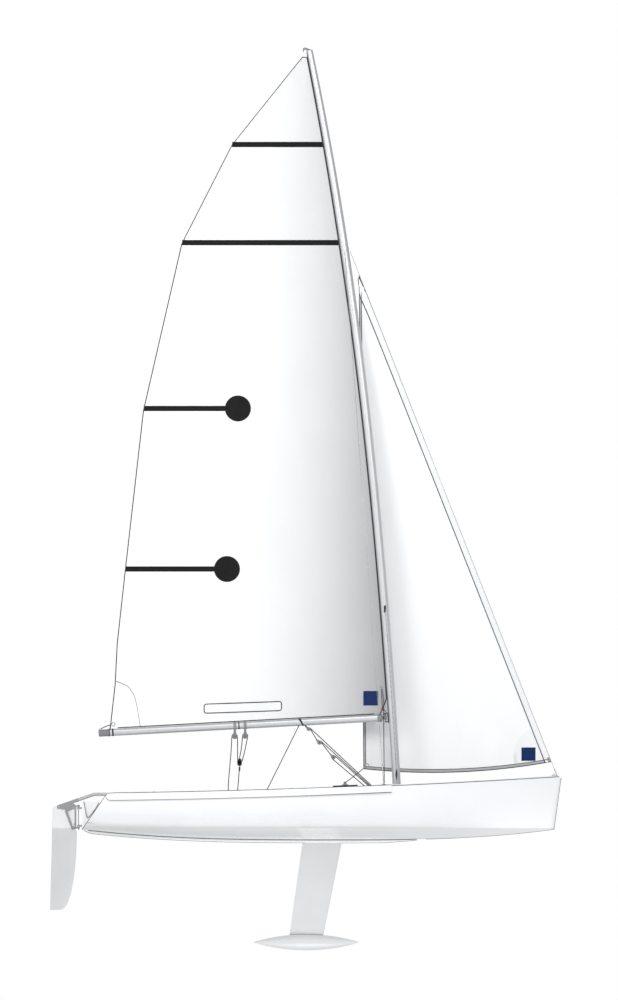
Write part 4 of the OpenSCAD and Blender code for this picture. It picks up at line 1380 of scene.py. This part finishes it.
FALLS = {
    "fall_aft": ((-0.869, 0, 0.886), (-0.879, 0, 0.72), (-0.905, 0, 0.364), (-0.876, 0, 0.185)),
    "fall_middle": ((-0.816, 0, 0.886), (-0.8145, 0, 0.78), (-0.814, 0, 0.648)),
    "fall_fore_a": ((-0.766, 0.002, 0.89), (-0.778, 0.002, 0.77), (-0.796, 0.002, 0.674)),
    "fall_fore_b": ((-0.716, 0, 0.89), (-0.742, 0, 0.76), (-0.772, 0, 0.640)),
    "fall_tail": ((-0.795, 0, 0.586), (-0.7995, 0, 0.54), (-0.814, 0, 0.364), (-0.834, 0, 0.172)),
}
for name, line in FALLS.items():
    sheeted(rope(name, line, ROPE_R, "rope", steps=10))
for tag, x, z in SHEET_BLOCKS:
    x -= 0.0015 if tag == "aft" else 0
    arc = [(x + BLOCK_R * 0.98 * cos(a), 0, z + BLOCK_R * 0.98 * sin(a)) for a in spread(0, pi, 8)]
    rope(f"sheet_turn_{tag}", arc, ROPE_R, "rope", "boom", 3)
sheeted(rope("fiddle_whipping", [(-0.795, 0, 0.592), (-0.796, 0, 0.553)], 0.0085, "rubber", steps=4))

# The swivel in the cockpit, with its cam cleat and fairlead.
SWIVEL_X = -0.836
kit = Kit().ring((SWIVEL_X, 0, 0.152), (1, 0, 0), 0.016, 0.004)
kit.rod((SWIVEL_X, 0, 0.134), (SWIVEL_X, 0, 0.142), 0.018)
kit.rod((SWIVEL_X, 0, 0.126), (SWIVEL_X, 0, 0.134), 0.024).done("sheet_swivel", "steel", "hull", 0.0008)
kit = Kit().block((-0.902, 0, 0.150), (0.072, 0.030, 0.008), -0.18)
for y in (0.012, -0.012):
    kit.rod((-0.915, y, 0.152), (-0.915, y, 0.172), 0.010)
kit.block((-0.946, 0, 0.170), (0.006, 0.034, 0.026)).block((-0.862, 0, 0.137), (0.075, 0.020, 0.012), -0.25)
kit.done("sheet_cleat", "black", "hull", 0.0012)
Kit().ring((-0.876, 0, 0.174), (0.3, 0, 1), 0.010, 0.003).done("sheet_fairlead", "steel", "hull", 0)

# The vang, from the boom down to the foot of the mast.
VANG = {tag: Vector((x, 0, z)) for tag, x, z in (("upper", -0.126, 0.957), ("middle", -0.021, 0.827),
                                                 ("lower", 0.113, 0.685))}
VANG_FOOT, VANG_R = Vector((0.648, 0, 0.233)), 0.0046
vang_up = (VANG["upper"] - VANG_FOOT).normalized()
vang_side = PORT.cross(vang_up)
boom_strap("vang_strap", -0.211, 0.009, "webbing", 0.030)
rope("vang_strop", [(-0.196, 0, 1.026), (-0.168, 0, 0.998), (-0.146, 0, 0.977)], 0.0066, "webbing", "boom", 4)
for side, tag in SIDES:
    line = [(-0.222, side * 0.031, 1.058), (-0.20, side * 0.028, 1.03), (-0.155, side * 0.004, 0.984)]
    rope(f"vang_strop_{tag}", line, 0.005, "webbing", "boom", 5)
for tag, r in (("upper", 0.019), ("middle", 0.0215), ("lower", 0.0215)):
    pulley(f"vang_block_{tag}", VANG[tag], vang_up, r, 0.034, on_spar)
foot_block = VANG_FOOT + vang_up * 0.014
pulley("vang_block_foot", foot_block, -vang_up, 0.020, 0.036, on_spar)
for name, tag, off, reach in (("a", "upper", 0.017, 0.016), ("b", "middle", 0.019, 0.009),
                              ("c", "lower", 0.019, 0.002), ("d", "lower", -0.019, -0.018)):
    start = VANG[tag] - PORT * 0.001 + vang_side * off
    end = foot_block + vang_side * reach
    rope(f"vang_fall_{name}", [start, start.lerp(end, 0.5), end], VANG_R, "rope", "boom", 6)
for name, high, low in (("a", "upper", "middle"), ("b", "middle", "lower")):
    line = [VANG[high] - vang_up * 0.004 + vang_side * 0.014, VANG[low] + vang_up * 0.036]
    rope(f"vang_link_{name}", line, VANG_R, "rope", "boom", 4)
kit = Kit().block((0.707, 0, 0.200), (0.012, 0.030, 0.070))
kit.ring((0.693, 0, 0.196), (0, 1, 0), 0.012, 0.0032).done("vang_tang", "steel", "hull", 0.0012)

OUTHAUL_FOOT, OUTHAUL_EXIT = Vector((-0.56, 0, 0.32)), Vector((-0.224, 0, 0.984))
OUTHAUL_BEND = (-0.529, 0, 0.371)
outhaul = rope("outhaul_line", [OUTHAUL_BEND, (-0.376, 0, 0.678), OUTHAUL_EXIT], LINE_R, "rope")
on_both(outhaul)
outhaul = rope("outhaul_tail", [OUTHAUL_BEND, (-0.552, 0, 0.325), (-0.60, 0, 0.19), (-0.66, 0, 0.09),
                                (-0.72, 0, 0.078)], LINE_R, "rope")
on_both(outhaul)
kit = Kit().block((-0.222, 0, 1.005), (0.05, 0.028, 0.012), -BOOM_DROP)
kit.rod((-0.222, -0.012, 0.993), (-0.222, 0.012, 0.993), 0.010).done("outhaul_exit", "black", "boom", 0.0012)

# Clew, tack and cunningham.
clew_at = on_main(-2.017, 1.004)
line_start = clew_at + Vector((-0.012, 0.004, -0.010))
rope("clew_strop", [line_start, (clew_at.x - 0.03, 0.02, 0.975), (clew_at.x - 0.037, 0.010, 0.958)],
     0.0035, "rope", "boom", 6)
boom_strap("clew_strap", -2.022, 0.008, "webbing")
line_start = clew_at + Vector((-0.012, 0.004, -0.002))
rope("outhaul_end", [line_start, (-2.085, 0.008, 0.985), (-2.135, 0, 0.962)], 0.0046, "rope", "boom", 6)
Kit().ring((-2.140, 0, 0.957), (0, 1, 0), 0.010, 0.003).done("outhaul_eye", "steel", "boom", 0)

ball_at, ring_at = Vector((0.594, -0.012, 1.146)), Vector((0.578, 0, 1.355))
DOWNHAUL_Y = -0.034
downhaul = rope("downhaul_line", [(0.598, -0.030, 1.13), (0.600, DOWNHAUL_Y, 1.0), (0.606, DOWNHAUL_Y, 0.42),
                                  (0.611, DOWNHAUL_Y, 0.080)], LINE_R, "rope")
on_both(downhaul)
kit = Kit().ring((0.611, DOWNHAUL_Y, 0.082), (1, 0, 0), 0.010, 0.003)
kit.block((0.611, DOWNHAUL_Y, 0.073), (0.04, 0.022, 0.006)).done("downhaul_eye", "steel", "hull", 0.0008)
kit = Kit().rod(ball_at - PORT * 0.007, ball_at + PORT * 0.007, 0.0135)
kit.rod(ball_at - PORT * 0.010, ball_at + PORT * 0.010, 0.006).done("downhaul_ball", "red", "boom", 0.002)
luff_y = on_main(0.575, 1.355).y
for tag, line in (("a", ((0.588, -0.010, 1.156), (0.582, -0.010, 1.25), (0.575, luff_y, 1.352))),
                  ("b", ((0.600, -0.010, 1.156), (0.601, -0.008, 1.22), (0.583, luff_y, 1.366)))):
    made = rope(f"downhaul_upper_{tag}", line, 0.0028, "rope", steps=6)
    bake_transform(made)
line = [(0.590, 0.012, 1.148), (0.612, 0.012, 1.135), (0.625, 0.008, 1.108), (0.618, 0.004, 1.092)]
rope("tack_strop", line, 0.0032, "rope", "boom", 6)

# The jib's sheet, from the clew down to the port fairlead.
FAIRLEAD_X, LEAD_STATION = 0.226, 0.228
lead_y = well_w(LEAD_STATION) + 0.06
lead = Vector((0.225, lead_y, sheer_z(LEAD_STATION) + 0.036))
line = [jib_clew - Vector((0.010, 0, 0.012)), jib_clew.lerp(lead, 0.5) - Vector((0, 0, 0.004)), lead]
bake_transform(rope("jib_sheet", line, LINE_R, "rope", steps=10))
for side, tag in SIDES:
    y, z = side * lead_y, sheer_z(LEAD_STATION) + 0.0145
    kit = Kit().block((FAIRLEAD_X, y, z + 0.004), (0.062, 0.032, 0.008))
    kit.rod((FAIRLEAD_X, y - 0.012, z + 0.020), (FAIRLEAD_X, y + 0.012, z + 0.020), 0.015)
    for cheek in (-0.012, 0.012):
        kit.block((FAIRLEAD_X, y + cheek, z + 0.014), (0.03, 0.004, 0.030))
    kit.done(f"fairlead_car_{tag}", "grey", "hull", 0.0012)
    # The tail drops over the tank's edge and lies on the floor: x, how far inboard, and height.
    tail = ((FAIRLEAD_X, 0.013, z + 0.012), (0.222, 0.035, z - 0.007), (0.218, 0.054, z - 0.012),
            (0.216, 0.070, z - 0.032), (0.210, 0.080, z - 0.16), (0.15, 0.13, 0.085), (0.02, 0.16, 0.075),
            (-0.10, 0.15, 0.075))
    line = [(x, y - side * inboard, height) for x, inboard, height in tail]
    rope(f"jib_sheet_tail_{tag}", line, 0.0034, "rope", "hull", 8)

# ---------------------------------------------------------------- rudder

PINTLE_X, BLADE_T = STERN_X - 0.034, 0.022
BLADE_AFT = PINTLE_X - 0.25
BLADE_LEAD = BLADE_AFT + 0.234
TIP_Z, HEAD_TOP, SHOULDER_Z = -0.794, 0.218, -0.025
ROUND_Z, ROUND_R = 0.168, 0.05      # where the head's rounded corner starts, and its radius


def blade_aft(z):
    """X of the blade's after edge at a height; blade_front gives the leading edge."""
    if z > ROUND_Z:
        return BLADE_AFT + ROUND_R * (1 - sqrt(max(0, 1 - ((z - ROUND_Z) / ROUND_R) ** 2)))
    return lerp(BLADE_AFT - 0.027, BLADE_AFT, (z - TIP_Z) / (ROUND_Z - TIP_Z))


def blade_front(z):
    head_x = BLADE_LEAD - 0.016 - 0.010 * clamp01((z - 0.19) / 0.028)
    if z > -0.018:
        return head_x
    a = clamp01((SHOULDER_Z - z) / (SHOULDER_Z - TIP_Z))
    return min(lerp(BLADE_AFT + 0.071, BLADE_LEAD, sqrt(max(0, 1 - a * a)) ** 0.9),
               head_x + 0.016 * clamp01((-0.018 - z) / 0.012))


blade_rings = []
for z in (spread(TIP_Z, TIP_Z + 0.03, 6) + spread(TIP_Z + 0.05, -0.06, 40) + spread(-0.05, 0.0, 12)
          + spread(0.02, ROUND_Z, 6) + [ROUND_Z + ROUND_R * sin(pi / 2 * k / 10) for k in range(1, 11)]):
    aft, lead_x = blade_aft(z), blade_front(z)
    chord = lead_x - aft
    foil_share = clamp01((-0.02 - z) / 0.08)
    foil_share = foil_share * foil_share * (3 - 2 * foil_share)
    tip = sqrt(clamp01((z - TIP_Z) / 0.012 + 0.15))
    top = sqrt(clamp01((HEAD_TOP - z) / 0.006 + 0.2))
    half_t = BLADE_T / 2 * lerp(1, clamp01(chord / 0.2), foil_share)
    ring_points = []
    for side, u in foil_sides(20):
        shaped = max(0.0012, 2 * foil(u) * half_t)
        flat = half_t * min(1, sqrt(max(0.02, min(u, 1 - u) * chord / 0.006)))
        y = side * lerp(flat, shaped, foil_share) * tip * top
        ring_points.append(Vector((lead_x - chord * u, y, z)))
    blade_rings.append(ring_points)
blade = loft("rudder_foil", blade_rings, "foil", "blade", 50)
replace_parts(blade, "rudder_blade")

# Sealant where the stern post meets its web, and round the web's foot.
WEB_LINE = ((-2.2755, 0.118), (-2.266, 0.102), (-2.252, 0.108), (-2.20, 0.170), (-2.155, 0.2445))
for side, tag in SIDES:
    seam(f"gantry_edge_{tag}", [(-2.3035, side * 0.0295, 0.257), (-2.2755, side * 0.0295, 0.108)], 0.003)
    seam(f"gantry_bead_{tag}", curve_through([(x, side * 0.0125, z) for x, z in WEB_LINE], 6), 0.003)

# Small fittings of the stock and tiller.
for level, z, xs in (("upper", 0.196, (-2.384, -2.404)), ("lower", 0.04, (-2.384, -2.392))):
    for tag, x in zip("ab", xs):
        kit = Kit().rod((x, -0.0205, z), (x, 0.0205, z), 0.0045, sides=6)
        kit.rod((x, -0.0185, z), (x, 0.0185, z), 0.0075)
        kit.done(f"stock_bolt_{level}_{tag}", "steel", "rudder", 0.0006)
TILLER_Z, TILLER_D = 0.326, 0.033
tiller_end = Vector((PINTLE_X + 0.76, 0, TILLER_Z))


def by_tiller(x, y=0.0, z=0.0):
    return tiller_end + Vector((x, y, z))


kit = Kit().rod(by_tiller(-0.02), by_tiller(0.004), 0.0178)
kit.rod(by_tiller(-0.028), by_tiller(-0.02), 0.0168).done("tiller_plug", "black", "rudder")
joint_y = TILLER_D / 2 + 0.012
kit = Kit().block(by_tiller(-0.03, joint_y / 2 + 0.004, 0.018), (0.03, 0.036, 0.006))
kit.rod(by_tiller(-0.03, 0, 0.012), by_tiller(-0.03, 0, 0.026), 0.009)
kit.rod(by_tiller(-0.03, joint_y + 0.002, 0.008), by_tiller(-0.03, joint_y + 0.002, 0.026), 0.010)
kit.done("extension_joint", "black", "rudder")
grip = []
for i, x in enumerate(spread(PINTLE_X + 0.235, PINTLE_X + 0.42, 36)):
    r = 0.0150 if 1 < i < 35 and i % 3 else 0.0136
    grip.append([Vector((x, joint_y + 0.0005 + r * cos(a), TILLER_Z + r * sin(a))) for a in turns(24)])
loft("extension_grip", grip, "rubber", "rudder", 30)

# ---------------------------------------------------------------- cockpit


def strap(name, path, width, thick, material):
    """A flat woven strap along a path, lying across Y, with a raised selvedge at each edge."""
    path = curve_through(path, 5)
    upper = [(-1, 0.6), (-0.94, 1), (-0.86, 0.8), (0, 0.8), (0.86, 0.8), (0.94, 1), (1, 0.6)]
    across = [(-1, -0.6)] + upper + [(v, -w) for v, w in reversed(upper[1:])]
    rings = []
    for i, p in enumerate(path):
        a, b = path[max(i - 1, 0)], path[min(i + 1, len(path) - 1)]
        normal = (b - a).normalized().cross(PORT)
        rings.append([p + Vector((0, v * width / 2, 0)) + normal * (w * thick / 2) for v, w in across])
    return loft(name, rings, material, "hull", 30)


STRAP_Y, STRAP_A, STRAP_B, STRAP_TOP = 0.17, -1.7475, -0.2525, 0.1925
# Each strap as (x, height): up from the floor, along under a slight sag, and down again.
AFT_END = [(STRAP_A, FLOOR_Z + 0.001), (STRAP_A - 0.001, 0.12), (STRAP_A + 0.002, 0.175),
           (STRAP_A + 0.016, STRAP_TOP - 0.001), (STRAP_A + 0.15, STRAP_TOP - 0.006)]
FORE_END = [(STRAP_A + STRAP_B - x, z) for x, z in reversed(AFT_END)]
SAG = [(x, STRAP_TOP - drop) for x, drop in ((-1.3, 0.018), (-1.0, 0.021), (-0.7, 0.018))]
PAD = [(x, STRAP_TOP - drop) for x, drop in ((-1.35, 0.0155), (-1.1, 0.019), (-0.9, 0.019), (-0.65, 0.0145))]
for side, tag in SIDES:
    y = side * STRAP_Y
    line = [(x, y, z) for x, z in AFT_END + SAG + FORE_END]
    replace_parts(strap(f"hiking_strap_{tag}", line, 0.05, 0.0042, "webbing"), f"toe_strap_{tag}")
    strap(f"strap_pad_{tag}", [(x, y, z) for x, z in PAD], 0.066, 0.011, "rubber")
    for end, x in (("aft", STRAP_A), ("fore", STRAP_B)):
        kit = Kit().block((x, y, FLOOR_Z + 0.004), (0.034, 0.062, 0.007))
        for screw in (y - 0.021, y + 0.021):
            kit.rod((x, screw, FLOOR_Z + 0.006), (x, screw, FLOOR_Z + 0.0105), 0.005)
        kit.done(f"strap_plate_{end}_{tag}", "steel", "hull", 0.0008)


def tread(name, feet, inner, outer, level):
    """A raised non-slip panel; inner, outer and level give the section at each station."""
    rings = []
    for i, foot in enumerate(feet):
        a, b, z = inner(foot), outer(foot), level(foot)
        end = 0.012 if i in (0, len(feet) - 1) else 0.0
        a, b = a + end, b - end
        base = at_station(foot, 0, z)
        rings.append([Vector((base.x, y, base.z + h)) for y, h in (
            (a, -0.001), (a + 0.0015, 0.0012), (b - 0.0015, 0.0012), (b, -0.001))])
    return loft(name, rings, "tread", "hull", 30)


def mirror_tread(obj, name):
    mesh = obj.data.copy()
    for v in mesh.vertices:
        v.co.y = -v.co.y
    mesh.flip_normals()
    twin = bpy.data.objects.new(name, mesh)
    scene.collection.objects.link(twin)
    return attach(twin, "hull")


def side_inner(foot):
    """The side deck's inner edge, further out beside the jib's fairlead."""
    return well_w(foot) + 0.040 + (0.045 if abs(head(foot) - LEAD_STATION) < 0.16 else 0)


def side_outer(foot):
    return half_beam(head(foot)) - 0.045


def floor_outer(foot):
    return well_w(foot) - WALL_SLOPE - 0.05


def deck_level(foot):
    return sheer_z(head(foot))


for k, (a, b) in enumerate(((-1.98, -1.15), (-1.12, -0.32), (-0.29, 0.50))):
    panel = tread(f"side_tread_{k}_port", spread(a, b, 24), side_inner, side_outer, deck_level)
    mirror_tread(panel, f"side_tread_{k}_starboard")
for k, (a, b, inner) in enumerate(((-2.0, -1.80, 0.10), (-1.69, -0.95, 0.03), (-0.72, -0.33, 0.10))):
    panel = tread(f"floor_tread_{k}_port", spread(a, b, 14), lambda f: inner, floor_outer, lambda f: FLOOR_Z)
    mirror_tread(panel, f"floor_tread_{k}_starboard")

# The bulkhead hatch's rim and handle, on the CAD lid.
low = at_station(BULKHEAD_X, 0, FLOOR_Z)
high = at_station(BULKHEAD_X + BULKHEAD_LEAN, 0, sheer_z(head(BULKHEAD_X + BULKHEAD_LEAN)))
middle = low.lerp(high, 0.5)
out_of = Vector((-(high.z - low.z), 0, high.x - low.x)).normalized()
lid = Vector((middle.x, 0.11, middle.z))
up_lid = PORT.cross(out_of)
kit = Kit().ring(lid + out_of * 0.009, out_of, 0.060, 0.0065, 48)
kit.ring(lid + out_of * 0.0122, out_of, 0.041, 0.002, 40)
for a in turns(12):
    spoke = PORT * cos(a) + up_lid * sin(a)
    kit.rod(lid + spoke * 0.044 + out_of * 0.0118, lid + spoke * 0.054 + out_of * 0.0118, 0.0022, sides=8)
kit.rod(lid - PORT * 0.034 + out_of * 0.017, lid + PORT * 0.034 + out_of * 0.017, 0.0055)
kit.done("hatch_rim", "black", "hull", 0.0008, 40)

# Screws, pins and washers on the standing rigging's fittings.
kit = Kit()
for x in (-0.022, 0.022):
    for y in (-0.009, 0.009):
        base = Vector((BOW_PIN.x - 0.019 + x, y, 0.5116))
        kit.rod(base - Vector((0, 0, 0.002)), base + Vector((0, 0, 0.0015)), 0.0035)
kit.rod((BOW_PIN.x, -0.010, 0.5173), (BOW_PIN.x, 0.010, 0.5173), 0.0036)
kit.done("bow_pins", "steel", "hull", 0.0006)
SHROUD_X = 0.6
for side, tag in SIDES:
    at = Vector((SHROUD_X, side * (half_beam(SHROUD_X) - 0.045), sheer_z(SHROUD_X) + 0.0143))
    top = Vector((mast_x(HOUNDS_Z), side * (MAST_W / 2 + 0.007), HOUNDS_Z))
    along = (top - at).normalized()
    kit = Kit().rod(at - Vector((0.012, 0, 0)), at + Vector((0.012, 0, 0)), 0.0042)
    for low, high, r in ((0.010, 0.055, 0.0052), (0.055, 0.140, 0.0038), (0.140, 0.185, 0.0055)):
        kit.rod(at + along * low, at + along * high, r)
    kit.done(f"shroud_screw_{tag}", "steel", "hull", 0.0006)
    kit = Kit().rod(top - along * 0.045, top + along * 0.004, 0.0042)
    kit.rod(top - PORT * (side * 0.008), top + PORT * (side * 0.004), 0.0055)
    kit.done(f"shroud_swage_{tag}", "steel", "hull", 0.0006)
stay_along = (STAY_TOP - BOW_PIN).normalized()
kit = Kit().rod(BOW_PIN + stay_along * 0.008, BOW_PIN + stay_along * 0.06, 0.0048)
kit.done("stay_swage", "steel", "hull", 0.0006)

# ---------------------------------------------------------------- the CAD parts that stay

KEPT = (
    ("deck", 0.008, "keel_console"), ("gelcoat", 0.008, "stern_gantry"), ("frame", 0.0012, "rudder_stock"),
    ("tube", 0.001, "tiller"), ("carbon", 0.001, "tiller_extension"), ("grey", 0.0015, "masthead_crane"),
    ("grey", 0.002, "boom_toggle"), ("black", 0.0012, "gooseneck_bracket"),
    ("black", 0.0025, "jib_fairlead_port", "jib_fairlead_starboard"),
    ("black", 0.003, "mast_step", "mainsheet_base", "bulkhead_hatch"),
    ("steel", 0, "forestay", "shroud_port", "shroud_starboard"),
    ("steel", 0.0008, "hounds_tangs", "gudgeons"),
    ("steel", 0.001, "chainplate_port", "chainplate_starboard", "bow_fitting", "pintle_rod"),
    ("steel", 0.0012, "blade_bolt"), ("steel", 0.002, "lifting_eye"),
)
for material, width, *nodes in KEPT:
    for node in nodes:
        polish(node, material, width)
